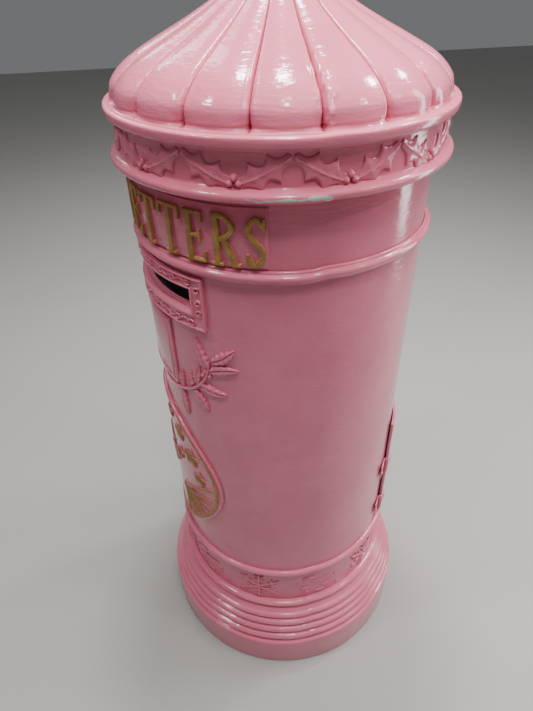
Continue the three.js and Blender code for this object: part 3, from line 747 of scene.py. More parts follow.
@dataclass(frozen=True)
class Foam(Finish):
    """Black closed-cell foam strip."""

    name: str = "seal_rubber"
    slot: str = "seal_rubber"
    pit: tuple[float, float, float, float] = (0.012, 0.012, 0.013, 1)
    skin: tuple[float, float, float, float] = (0.035, 0.035, 0.037, 1)

    def wire(self, nodes: Nodes, shader: bpy.types.Node, place: bpy.types.NodeSocket) -> None:
        """Fine cells in colour and height."""
        cells = nodes.add("TexVoronoi", Vector=place, Scale=1400.0).outputs["Distance"]
        nodes.feed(shader.inputs["Base Color"], nodes.mix(cells, self.pit, self.skin))
        shader.inputs["Roughness"].default_value = 0.9
        self.bump(nodes, shader, cells, 0.5, 0.0004)


@dataclass(frozen=True)
class Plywood(Finish):
    """Unpainted birch ply with long grain on its faces."""

    name: str = "birch_ply"
    slot: str = "birch_ply"
    pale: tuple[float, float, float, float] = (0.56, 0.38, 0.21, 1)
    late: tuple[float, float, float, float] = (0.40, 0.24, 0.12, 1)

    def wire(self, nodes: Nodes, shader: bpy.types.Node, place: bpy.types.NodeSocket) -> None:
        """Grain stretched along X, and layers across the edge."""
        grain = nodes.noise(nodes.stretched(place, (9, 160, 160)), 1.0, 6.0, 0.6)
        rings = nodes.add("TexWave", Vector=nodes.stretched(place, (6, 60, 60)), Scale=1.0,
                          Distortion=6.0, Detail=2.0).outputs["Fac"]
        share = nodes.maths("MULTIPLY", nodes.maths("ADD", grain, rings), 0.5)
        nodes.feed(shader.inputs["Base Color"], nodes.mix(share, self.pale, self.late))
        rough = nodes.maths("ADD", nodes.maths("MULTIPLY", grain, 0.2), 0.5)
        nodes.feed(shader.inputs["Roughness"], rough)
        self.bump(nodes, shader, grain, 0.3, 0.0004)


@dataclass(frozen=True)
class FloorPaint(Finish):
    """Pale studio floor with a very faint mottle."""

    name: str = "studio_floor"
    slot: str = ""
    deep: tuple[float, float, float, float] = (0.38, 0.37, 0.35, 1)
    pale: tuple[float, float, float, float] = (0.41, 0.40, 0.38, 1)

    def wire(self, nodes: Nodes, shader: bpy.types.Node, place: bpy.types.NodeSocket) -> None:
        """Two pale tones."""
        share = nodes.noise(place, 2.0, 3.0)
        nodes.feed(shader.inputs["Base Color"], nodes.mix(share, self.deep, self.pale))
        shader.inputs["Roughness"].default_value = 0.75


PINK = PinkPaint()
CHIPPED = PinkPaint(name="pink_gloss_paint_chipped", chip=True)
GOLD = GoldPaint()
HINGE = PinkPaint(name="hinge_overpaint", slot="zinc_plated_steel", rough=(0.3, 0.45))
STEEL = Metal()
BRASS = Metal(name="lock_brass", slot="lock_brass", bright=(0.58, 0.42, 0.17, 1),
              tarnish=(0.30, 0.20, 0.08, 1), rough=0.22)
SHEET = Metal(name="galvanised_sheet", slot="galvanised_sheet", bright=(0.46, 0.47, 0.49, 1),
              tarnish=(0.34, 0.35, 0.37, 1), rough=0.38, grain=(160, 160, 160))
FOAM = Foam()
PLY = Plywood()


# ------------------------------------------------------------------ making pieces


def make(name: str, shape: Shape, body: str, finish: Finish, replaced: Sequence[str] = (),
         sharp: float = 38.0) -> bpy.types.Object:
    """Makes one piece from a shape and hands it to the frame.

    Args:
        name: Name of the piece.
        shape: Points in millimetres and faces.
        body: CAD body it rides on.
        finish: Its finish.
        replaced: CAD nodes it stands for.
        sharp: Angle in degrees past which an edge stays sharp.

    Returns:
        The object, at the origin, unturned and unscaled.
    """
    mesh = bpy.data.meshes.new(name)
    mesh.from_pydata((shape.points * MM).tolist(), [], shape.faces)
    for key, values in (("recess", shape.recess), ("rise", shape.rise)):
        attribute = mesh.attributes.new(key, "FLOAT", "POINT")
        attribute.data.foreach_set("value", values.astype(np.float32))
    mesh.shade_smooth()
    mesh.set_sharp_from_angle(angle=math.radians(sharp))
    mesh.materials.append(finish.material())
    piece = bpy.data.objects.new(name, mesh)
    bpy.context.scene.collection.objects.link(piece)
    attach(piece, body)
    if replaced:
        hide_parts(*replaced)
    log.info("%s: %d faces on %s", name, len(shape.faces), body)
    return piece


def dress(nodes: Sequence[str], finish: Finish) -> None:
    """Gives CAD nodes that stay in view a finish."""
    for node in nodes:
        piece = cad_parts[node]
        piece.data.materials.clear()
        piece.data.materials.append(finish.material())
        log.info("%s: CAD mesh with %s", node, finish.name)


@dataclass
class Plinth:
    """Stepped plinth, foot ring and base bead, with the snowflake frieze between the last two."""

    radius: float = 206.6
    band_top: float = 64.0
    top: float = 124.0
    steps: int = 4
    inset: float = 5.0
    foot: float = 180.0
    motifs: int = 11
    frieze_middle: float = 170.0
    arm: float = 34.0

    def profile(self) -> Array:
        """Closed profile: band with a rounded lip, reeds stepping in, cove, hollow inside.

        Formula: each reed is half an ellipse on the next step in, parted from the last by a
        groove cut behind both.
        """
        pitch = (self.top - 7 - self.band_top) / self.steps
        k = np.arange(self.steps)[:, None]
        turn = np.radians(np.linspace(-74, 86, 9))[None, :]
        edge = self.radius - self.inset * (k + 1) + 0.6
        reed_r = edge - 5.2 * (1 - np.cos(turn))
        reed_z = self.band_top + pitch * (k + 0.5) + 0.47 * pitch * np.sin(turn)
        reeds = np.stack([reed_r, np.broadcast_to(reed_z, reed_r.shape)], -1)
        groove = np.stack([reed_r[:, -1:] - 0.9, reed_z[:, -1:] + 0.3], -1)
        reeds = np.concatenate([reeds, groove], axis=1).reshape(-1, 2)
        lip = np.array([
            [self.radius, self.band_top - 5], [self.radius - 0.6, self.band_top - 2.4],
            [self.radius - 2.4, self.band_top - 0.6], [self.radius - 5.4, self.band_top - 0.4],
        ])
        cove = [[181, self.top - 6.4], [178, self.top - 3], [175.5, self.top]]
        inner = self.radius - WALL
        inside = [[FLANGE_R, self.top], [FLANGE_R, self.top - WALL], [172, self.top - WALL],
                  [inner, self.band_top - WALL], [inner, WALL], [self.foot, WALL], [self.foot, 0],
                  [self.radius - 1.5, 0], [self.radius, 1.5]]
        return np.vstack([lip, reeds, cove, inside])

    def flake(self, azimuth: float) -> list[Shape]:
        """Six-armed snowflake in fine raised lines."""
        place = round_shaft(SHAFT_R + 0.05, azimuth)
        parts = []
        for k in range(6):
            turn = math.radians(60 * k + 30)
            way = np.array([math.cos(turn), math.sin(turn)])
            centre = np.array([0.0, self.frieze_middle])
            parts.append(stroke(straight(centre, centre + way * self.arm, 5), 4.4, 2.6, place))
            parts.append(bead(centre + way * (self.arm + 1), 2.6, 2.2, place))
            for reach in (12, 22):
                root = centre + way * reach
                for side in (-1, 1):
                    lean = turn + side * math.radians(50)
                    tip = root + 10 * np.array([math.cos(lean), math.sin(lean)])
                    parts.append(stroke(straight(root, tip, 4), 3.4, 2.1, place))
        return parts

    def swirl(self, azimuth: float) -> list[Shape]:
        """Group of wind-blown strokes between two snowflakes."""
        place = round_shaft(SHAFT_R + 0.05, azimuth)
        lines = [
            [(-26, 186), (-16, 190), (-4, 189)], [(-12, 176), (4, 177), (24, 184)],
            [(-30, 160), (-24, 163), (-16, 165)], [(6, 160), (18, 160), (30, 165)],
            [(-6, 150), (4, 149), (12, 151)],
        ]
        spots = ((-34, 176), (30, 176), (-18, 150), (34, 152))
        dots = [bead(spot, 2.4, 2.0, place) for spot in spots]
        return [*(stroke(smooth_line(line, 12), 4.4, 2.3, place) for line in lines), *dots]

    def build(self) -> None:
        """Makes the plinth, its mouldings and the frieze."""
        make("plinth", turned(softened(self.profile(), 0.7, 3), 300, seam=True), PILLAR, PINK,
             ["base_plinth"], sharp=50)
        mouldings = (("foot_ring", "foot_moulding", 9.5), ("base_bead", "base_moulding", 6.0))
        for node, name, proud in mouldings:
            make(name, half_round(node, proud), PILLAR, PINK, [node])
        relief: list[Shape] = []
        for k in range(self.motifs):
            azimuth = k * 360 / self.motifs
            odd = min(k, self.motifs - k) % 2
            relief += self.swirl(azimuth) if odd else self.flake(azimuth)
        make("snowflake_frieze", joined(relief), PILLAR, PINK)


def half_round(node: str, proud: float) -> Shape:
    """Half-round moulding in the space of a CAD ring.

    Formula: half an ellipse, as high as the ring and standing proud by the given distance.
    """
    low, high = node_box(node)
    middle, reach = (low[2] + high[2]) / 2, (high[2] - low[2]) / 2
    turn = np.radians(np.linspace(-90, 90, 15))
    face = np.stack([SHAFT_R + 0.4 + proud * np.cos(turn) ** 0.8, middle + reach * np.sin(turn)], 1)
    face[[0, -1], 0] = SHAFT_R + 0.2
    return turned(face, 300, seam=True)


@dataclass
class Shaft:
    """Round shaft with turned-in flanges, cut for the letter slot and the rear door."""

    low: float = 124.3
    high: float = 807.7
    slot: tuple[float, float, float] = (43.7, 678.0, 702.0)
    door: tuple[float, float, float] = (27.0, 236.0, 412.0)

    def belt(self) -> None:
        """Makes the belt under the legend: a fillet, a crest and a broad lower slope."""
        low, high = node_box("belt_ring")
        shares = (0, 0.12, 0.44, 0.62, 0.76, 0.8, 0.95, 1)
        z = [low[2] + share * (high[2] - low[2]) for share in shares]
        radius = (SHAFT_R + 0.2, 172.0, 175.6, 175.7, 173.4, 171.3, 171.1, SHAFT_R + 0.2)
        outline = softened(list(zip(radius, z)), 1.6, 4)
        make("belt_moulding", turned(outline, 300, seam=True), PILLAR, PINK, ["belt_ring"])

    def build(self) -> None:
        """Makes the shaft and its belt.

        Formula: one grid runs up the outside and down the inside at the same azimuths and
        heights. Cells inside a hole are dropped on both walls, and the gap between the two
        hole edges is closed with jambs.
        """
        slot, door = self.slot, self.door
        marks = np.array([-slot[0], slot[0], 180 - door[0], door[0] - 180])
        azimuth = np.unique(np.round(np.concatenate([np.arange(-180, 180, 2.0), marks]), 3))
        floor, roof = self.low + WALL, self.high - WALL
        levels = [self.low, floor, roof, self.high, *slot[1:], *door[1:]]
        height = np.unique(np.concatenate([np.arange(self.low, self.high, 14.0), levels]))
        height = height[np.concatenate([[True], np.diff(height) > 1.5])]
        rows, count = len(azimuth), len(height)
        ridge, _ = mould_shift(azimuth[:, None], height[None, :])
        outer = polar(azimuth[:, None], SHAFT_R + ridge, height[None, :])
        depth = np.clip(height[::-1], floor, roof)
        inner = polar(azimuth[:, None], np.full((1, count), BORE_R), depth[None, :])
        ends = np.array([self.high, roof, floor, self.low])
        lips = polar(azimuth[:, None], np.full((1, 4), FLANGE_R), ends[None, :])
        points = np.concatenate([outer, lips[:, :2], inner, lips[:, 2:]], axis=1)
        columns = points.shape[1]
        quads = grid_quads(rows, columns, True, True)
        middle_a = np.abs(azimuth + np.diff(np.append(azimuth, azimuth[0] + 360)) / 2)[:, None]
        middle_z = np.full(columns, -1.0)
        middle_z[:count - 1] = (height[1:] + height[:-1]) / 2
        middle_z[count + 2:2 * count + 1] = middle_z[:count - 1][::-1]
        in_slot = (middle_a < slot[0]) & (middle_z > slot[1]) & (middle_z < slot[2])
        in_door = (middle_a > 180 - door[0]) & (middle_z > door[1]) & (middle_z < door[2])
        keep = ~(in_slot | in_door)
        faces = [tuple(f) for f in quads[keep.ravel()]]
        faces += self.jambs(keep[:, :count - 1], columns, count)
        make("shaft", Shape.of(points, faces), PILLAR, PINK, ["body_shell"], sharp=30)
        self.belt()

    def jambs(self, keep: NDArray[np.bool_], columns: int, count: int) -> list[tuple[int, ...]]:
        """Faces between the outer and inner edge of each hole.

        Args:
            keep: Which outer cells stay.
            columns: Points in a row of the whole grid.
            count: Points up the outside.

        Returns:
            One quad for each edge between a kept and a dropped cell.
        """
        rows = keep.shape[0]
        faces = []
        twin = 2 * count + 1
        for i, j in np.argwhere(keep != np.roll(keep, -1, axis=0)):
            a, b = ((i + 1) % rows) * columns + j, ((i + 1) % rows) * columns + j + 1
            c, d = ((i + 1) % rows) * columns + twin - j - 1, ((i + 1) % rows) * columns + twin - j
            quad = (a, b, c, d)
            faces.append(quad if keep[i, j] else quad[::-1])
        for i, j in np.argwhere(keep[:, :-1] != keep[:, 1:]):
            a, b = i * columns + j + 1, ((i + 1) % rows) * columns + j + 1
            c, d = ((i + 1) % rows) * columns + twin - j - 1, i * columns + twin - j - 1
            quad = (a, b, c, d)
            faces.append(quad[::-1] if keep[i, j] else quad)
        return faces


@dataclass
class Cap:
    """Cornice with its holly frieze, lobed dome and finial."""

    low: float = 808.0
    high: float = 864.0
    frieze: float = 176.0
    motifs: int = 11
    lobes: int = 18
    peak: float = 982.0
    ball: float = 26.0
    stud_hole: float = 5.5

    def cornice(self) -> Array:
        """Closed profile of the cornice: upper ring, frieze wall, flange and inner hollow."""
        low, high, inner = self.low, self.high, self.frieze - WALL
        return np.array([
            [179, low], [184.5, low + 0.8], [186, low + 3.5], [185.8, low + 7], [183, low + 9.4],
            [178, low + 10.6], [self.frieze, low + 12], [self.frieze, high - 13],
            [178, high - 11.4], [183, high - 10.6], [185, high - 8.6], [185.4, high - 3.4],
            [184.6, high - 1], [181, high],
            [150, high], [150, high - WALL], [inner, high - WALL], [inner, low + WALL],
            [FLANGE_R, low + WALL], [FLANGE_R, low],
        ])

    def holly(self, azimuth: float) -> list[Shape]:
        """Two spiky leaves rising from three berries."""
        place = round_shaft(self.frieze + 0.1, azimuth)
        low = self.low + 16.5
        leaves = [leaf((side * 2.5, low - 2), (side * 49, low + 22.5), 31, 2.8, place, spikes=2,
                       bend=-0.05 * side) for side in (-1, 1)]
        berries = [bead((across, low + up), 3.6, 4.2, place)
                   for across, up in ((-4, -1), (4, -1), (0, 3.8))]
        return leaves + berries

    def lobed(self) -> Shape:
        """Dome of broad lobes between narrow valleys.

        Formula: across a lobe the surface falls from its crest by a gentle square term and, near
        the edge, by a steep term of high power, with a bell-shaped raised edge just before it.
        All are measured along the profile's normal and die out towards the finial. Columns
        crowd towards the valleys as a sine does towards its peak. The mould's parting line adds
        lumps of filler: a random smooth field under a bell. Close to the foot all of it fades into
        a plain skirt that flares onto the ledge.
        """
        foot = self.high + 0.3
        outline = [(179.6, foot), (177.6, foot + 0.9), (176.7, foot + 3), (176.4, foot + 7),
                   (173.2, foot + 17), (163.8, 892), (150.7, 901.5), (127.6, 913.5), (98, 928),
                   (70, 943), (50, 956), (37, 969), (30, self.peak)]
        line = smooth_line(outline, 84)
        tangent = np.gradient(line, axis=0)
        tangent /= np.linalg.norm(tangent, axis=1, keepdims=True)
        normal = np.stack([tangent[:, 1], -tangent[:, 0]], 1)
        spread = np.sin(np.linspace(-np.pi / 2, np.pi / 2, 31)[:-1])
        azimuth = (np.arange(self.lobes)[:, None] + spread[None, :] / 2) * 360 / self.lobes
        azimuth = azimuth.reshape(-1, 1)
        columns = len(azimuth)
        across = np.abs(np.tile(spread, self.lobes))[:, None]
        fade = np.clip((line[:, 0] - 30) / 90, 0, 1) ** 0.6
        end = np.clip((line[:, 1] - foot) / 20, 0, 1)
        skirt = np.clip((line[:, 1] - foot - 0.6) / 2.6, 0, 1)
        scallop = (1 - end[None, :]) ** 1.5 * across**5 * 6.5
        raised = 0.7 * np.exp(-(((across - 0.87) / 0.05) ** 2))
        sink = fade[None, :] * (3.0 * across**2 + 4.0 * across**26 - raised) + scallop
        height = line[None, :, 1]
        away = azimuth - SEAM_AZIMUTH
        lumps = rough_field(away * 2.8, line[None, :, 0] * 1.3 + height, 7.5, 5)
        width = 2.2 + 1.1 * rough_field(height, height * 0, 17, 9)
        filler = np.exp(-((away / width) ** 4)) * (1.3 + 1.1 * lumps)
        filler = filler * fade[None, :] * np.clip((932 - height) / 40, 0, 1)
        sink = (sink - filler) * skirt[None, :]
        radius = line[None, :, 0] - sink * normal[None, :, 0]
        height = np.maximum(line[None, :, 1] - sink * normal[None, :, 1], foot)
        hollow = np.array([[6, self.peak], [6, 976], [20, 976], [28, 963], [58, 941], [106, 912],
                           [148, 889], [162, foot]])
        inner = polar(azimuth, hollow[None, :, 0], hollow[None, :, 1])
        points = np.concatenate([polar(azimuth, radius, height), inner], axis=1)
        # Painted shade in the valleys, handed to the paint as the recess attribute.
        groove = np.clip(across**44, 0, 1) * np.clip(fade * 1.6, 0, 1)[None, :] * 0.85
        recess = np.concatenate([groove, np.zeros((columns, len(hollow)))], axis=1)
        return Shape.of(points, grid_quads(columns, points.shape[1], True, True), recess)

    def build(self) -> None:
        """Makes the cap, piece by piece."""
        make("cornice", turned(softened(self.cornice(), 1.2, 3), 300, seam=True), PILLAR, CHIPPED,
             ["cap_cornice"], sharp=50)
        leaves = [part for k in range(self.motifs) for part in self.holly(k * 360 / self.motifs)]
        make("holly_frieze", joined(leaves), PILLAR, PINK)
        make("lobed_dome", self.lobed(), PILLAR, PINK, ["cap_dome"], sharp=60)
        low, high = node_box("finial_collar")
        foot, top = low[2], high[2]
        collar = [[self.stud_hole, foot], [23, foot], [25.5, foot + 1], [26, foot + 3],
                  [24, foot + 5.4], [18, foot + 6.6], [14.5, top - 1], [14, top],
                  [self.stud_hole, top]]
        make("finial_moulding", turned(softened(collar, 0.8), 96), PILLAR, PINK,
             ["finial_collar"])
        low, high = node_box("finial_ball")
        turn = np.radians(np.linspace(-66, 82, 40))
        centre = low[2] + 24
        ball = np.stack([self.ball * np.cos(turn), centre + self.ball * np.sin(turn)], 1)
        rest = np.array([[3.2, centre + self.ball + 0.1], [0.4, high[2]], [0.4, centre + 4],
                         [self.stud_hole, centre + 4], [self.stud_hole, low[2]]])
        make("finial_globe", turned(np.vstack([ball, rest]), 96), PILLAR, PINK, ["finial_ball"])
        dress(["finial_stud", "finial_nut"], STEEL)


@dataclass
class Screws:
    """Pan-head screws with a round driver recess, in the space of the CAD screws."""

    groups: tuple[tuple[str, float], ...] = (("plinth_screw", 130.3), ("cap_screw", 814.0))
    count: int = 3

    def build(self) -> None:
        """Makes each screw."""
        for group, seat in self.groups:
            for k in range(1, self.count + 1):
                node = f"{group}_{k}"
                low, high = node_box(node)
                middle = (low + high) / 2
                make(f"{node}_head", self.screw(seat, middle[0], middle[1]), PILLAR, STEEL, [node])

    def screw(self, seat: float, x: float, y: float) -> Shape:
        """Turned screw: shank with rounded thread crests, pan head with a driver recess."""
        thread = np.linspace(-18, 0, 37)
        shank = np.stack([2.65 + 0.35 * (np.arange(37) % 2), thread], 1)
        head = [[3, 0.3], [5.8, 0.3], [6, 1.2], [5.6, 2.8], [4.4, 3.8], [2.6, 4], [2.2, 2.4],
                [0.05, 2.2]]
        outline = np.vstack([[[0.05, -19.5]], shank, head])
        turn = np.arange(24)[:, None] * 2 * np.pi / 24
        points = np.stack(np.broadcast_arrays(
            x + outline[None, :, 0] * np.cos(turn), y + outline[None, :, 0] * np.sin(turn),
            seat + outline[None, :, 1]), -1)
        return Shape.of(points, grid_quads(24, len(outline), True, True))


@dataclass
class SlotFrame:
    """Scrollwork border round the letter slot, with a bevelled mouth."""

    outer: tuple[float, float, float] = (50.4, 655.0, 718.0)
    mouth: tuple[float, float, float] = (43.7, 681.0, 699.5)
    face: float = 3.0
    scrolls_in_row: int = 13

    def build(self) -> None:
        """Makes the frame and its scrolls as one piece."""
        radius = SHAFT_R + 0.5
        place = round_shaft(radius)
        half = math.radians(self.mouth[0]) * radius - 2
        reach = math.radians(self.outer[0]) * radius - half
        section = np.array([
            [0, -5.9], [0.04, -5.9], [0.2, 2.2], [0.25, 4.6], [0.29, 5.3], [0.33, 5.4], [0.37, 5.0],
            [0.39, 3.5], [0.43, 3.1], [0.86, 3.1], [0.89, 3.6], [0.91, 5.0], [0.94, 5.5],
            [0.97, 5.3], [0.99, 4.6], [1.0, 3.4], [1.0, -0.2],
        ])
        scale = (reach, self.mouth[1] - self.outer[1], self.outer[2] - self.mouth[2])
        shape = framed((half, *self.mouth[1:]), section, scale, place, 90)
        make("slot_surround", joined([shape, *self.scrolls(place, half, scale)]), PILLAR, PINK,
             ["slot_frame"])

    def scroll(self, middle: Array, size: float, turn: float, hand: int, place: Placing) -> Shape:
        """C-shaped scroll: an arc that tightens into a curl.

        Formula: the radius shrinks steadily from the size to a fifth of it over one and a
        quarter turns.
        """
        t = np.linspace(0, 1, 22)
        angle = turn + hand * t * 2.5 * np.pi
        r = size * (1 - 0.8 * t)
        line = middle + np.stack([r * np.cos(angle), r * np.sin(angle) * 0.85], 1)
        return stroke(line, 2.2, 2.3, place)

    def scrolls(self, place: Placing, half: float,
                scale: tuple[float, float, float]) -> list[Shape]:
        """Row of linked scrolls along each side of the border."""

        def lifted(across: Array, up: Array, proud: Array) -> Array:
            """Point on the border's own face."""
            return place(across, up, proud + self.face)

        parts = []
        middle = 0.69
        rows = ((self.mouth[1] - scale[1] * middle, 6.0), (self.mouth[2] + scale[2] * middle, 4.4))
        spots = np.linspace(-half - 4, half + 4, self.scrolls_in_row)
        step = spots[1] - spots[0]
        for height, size in rows:
            for k, x in enumerate(spots):
                hand = 1 if k % 2 else -1
                centre = np.array([x, height])
                parts.append(self.scroll(centre, size, math.pi * (k % 2), hand, lifted))
                if k + 1 < self.scrolls_in_row:
                    wave = [(x + 2, height - hand * size * 0.7),
                            (x + step / 2, height + hand * size * 0.5),
                            (x + step - 2, height - hand * size * 0.2)]
                    parts.append(stroke(smooth_line(wave, 12), 2.2, 2.0, lifted))
        for side in (-1, 1):
            x = side * (half + scale[0] * middle)
            for k, z in enumerate((676, 690, 704)):
                parts.append(self.scroll(np.array([x, z]), 5.0, math.pi * k, side, lifted))
        return parts


@dataclass
class Panels:
    """Notice panel with its rail, and text plate: half widths in degrees, heights, thickness."""

    notice: float = 29.4
    notice_heights: tuple[float, float] = (550.0, 646.0)
    notice_thick: float = 3.0
    rail_inset: float = 7.5
    rail_width: float = 2.4
    text: float = 74.7
    text_heights: tuple[float, float] = (740.0, 800.0)
    text_thick: float = 1.8

    def build(self) -> None:
        """Makes both plates."""
        radius = SHAFT_R + 0.5
        face = radius + self.notice_thick
        panel = plate((-self.notice, self.notice), self.notice_heights, (radius, face), 1.6)
        rail = np.array([[0, -0.4], [0, 0.5], [0.25, 0.8], [0.75, 0.8], [1, 0.5], [1, -0.4]])
        low, high = self.notice_heights
        half = math.radians(self.notice) * face - 8
        window = (half, low + self.rail_inset, high - self.rail_inset)
        border = framed(window, rail, (self.rail_width,) * 3, round_shaft(face))
        make("notice_plate", joined([panel, border]), PILLAR, PINK, ["notice_panel"])
        text = plate((-self.text, self.text), self.text_heights,
                     (radius, radius + self.text_thick), 1.0)
        make("legend_plate", text, PILLAR, PINK, ["text_plate"])


FOOT, HEAD, THIN, STEM = 1.6, 50.4, 3.6, 6.5


def upright(x: float) -> tuple[float, ...]:
    """Main stem of a letter."""
    return (x, 1.0, x, 51.0, STEM)


@dataclass(frozen=True)
class Glyph:
    """A letter: its width, straight strokes with their widths, and curved strokes."""

    width: float
    bars: tuple[tuple[float, ...], ...]
    curves: tuple[tuple[tuple[float, float], ...], ...] = ()


GLYPHS = {
    "A": Glyph(33, ((16.5, 51, 5.5, 1, 4), (16.5, 51, 27.5, 1, STEM), (9, 18, 24, 18, THIN),
                    (0, FOOT, 11, FOOT, THIN), (22, FOOT, 33, FOOT, THIN))),
    "C": Glyph(28, ((26, 50, 26, 38, 3),),
               (((26, 40), (17, 49), (7, 41), (4, 26), (7, 11), (17, 3), (26, 12)),)),
    "D": Glyph(30, (upright(6.5),),
               (((2, 50), (14, 49), (24.5, 41), (26, 26), (24.5, 11), (14, 3), (2, 2)),)),
    "E": Glyph(25, (upright(6.5), (1, 50.2, 22, 50.2, THIN), (6, 27, 18, 27, THIN),
                    (1, 1.8, 24, 1.8, THIN), (21, 51, 21, 41, 3), (17.5, 33, 17.5, 21, 3),
                    (23, 1, 23, 12, 3))),
    "L": Glyph(25, (upright(6.5), (0, HEAD, 13, HEAD, THIN), (1, 1.8, 24, 1.8, THIN),
                    (23, 1, 23, 13, 3))),
    "R": Glyph(30, (upright(6.5), (0, FOOT, 13, FOOT, THIN), (14, 27, 25, 1.5, 6),
                    (20.5, FOOT, 30, FOOT, THIN)),
               (((2, 50), (14, 49.5), (22, 39), (14, 28.5), (6, 28)),)),
    "S": Glyph(21, ((18, 50, 18, 38, 3), (2.5, 2, 2.5, 14, 3)),
               (((18, 41), (11, 49), (4, 42), (5, 33), (15, 21), (16.5, 11), (10, 3), (2.5, 11)),)),
    "T": Glyph(31, (upright(15.5), (1, HEAD, 30, HEAD, THIN), (2.5, 51, 2.5, 39, THIN),
                    (28.5, 51, 28.5, 39, THIN), (8, FOOT, 23, FOOT, THIN))),
    "and": Glyph(31, ((9.5, 35, 27, 2, 5.5),),
                 (((27, 28), (21, 11), (11, 3), (4, 11), (8, 21), (17, 31)),
                  ((15, 28), (19.5, 41), (13.5, 49), (8, 42), (10, 33)))),
}


@dataclass
class Legend:
    """Raised gold letters, one piece each, in the space of the CAD letters."""

    base: float = 741.0
    radius: float = SHAFT_R + 2.3
    height: float = 3.9
    curve_width: float = 5.5
    curve_reach: float = 2.7

    def letter(self, glyph: Glyph, azimuth: float) -> Shape:
        """All strokes of a letter, each a hair lower than the last so that none share a face."""
        place = round_shaft(self.radius, azimuth)
        shift = np.array([-glyph.width / 2, self.base])
        parts = []
        for k, (x0, y0, x1, y1, width) in enumerate(glyph.bars):
            line = straight((x0, y0), (x1, y1)) + shift
            tall = self.height - 0.07 * k
            parts.append(stroke(line, width, tall, place, FLAT_SECTION, StrokeEnd.SQUARE))
        for k, points in enumerate(glyph.curves):
            line = smooth_line(points, 48) + shift
            tall = self.height - 0.04 - 0.07 * k
            parts.append(stroke(line, self.curve_width, tall, place, FLAT_SECTION,
                                StrokeEnd.SQUARE))
        return joined(parts)

    def build(self) -> None:
        """Makes the letters where the CAD letters stand."""
        nodes = [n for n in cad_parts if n.startswith("letter_") and n[7:9].isdigit()]
        for node in sorted(nodes):
            shape = self.letter(GLYPHS[node[10:]], self.middle_of(node))
            make(f"gold_{node}", shape, PILLAR, GOLD, [node])

    def middle_of(self, node: str) -> float:
        """Azimuth of a CAD letter's own middle, from its outermost points."""
        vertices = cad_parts[node].data.vertices
        points = np.empty(len(vertices) * 3)
        vertices.foreach_get("co", points)
        points = points.reshape(-1, 3)
        azimuth = np.degrees(np.arctan2(points[:, 0], -points[:, 1]))
        aside = math.degrees(self.off_middle(GLYPHS[node[10:]]) / self.radius)
        return float((azimuth.min() + azimuth.max()) / 2) - aside

    def off_middle(self, glyph: Glyph) -> float:
        """How far the strokes' own middle lies from the middle of the letter's width."""
        low = [min(b[0], b[2]) - (b[4] / 2 if b[0] == b[2] else 0) for b in glyph.bars]
        high = [max(b[0], b[2]) + (b[4] / 2 if b[0] == b[2] else 0) for b in glyph.bars]
        for curve in glyph.curves:
            line = smooth_line(curve, 48)
            low.append(float(line[:, 0].min()) - self.curve_reach)
            high.append(float(line[:, 0].max()) + self.curve_reach)
        return (min(low) + max(high)) / 2 - glyph.width / 2


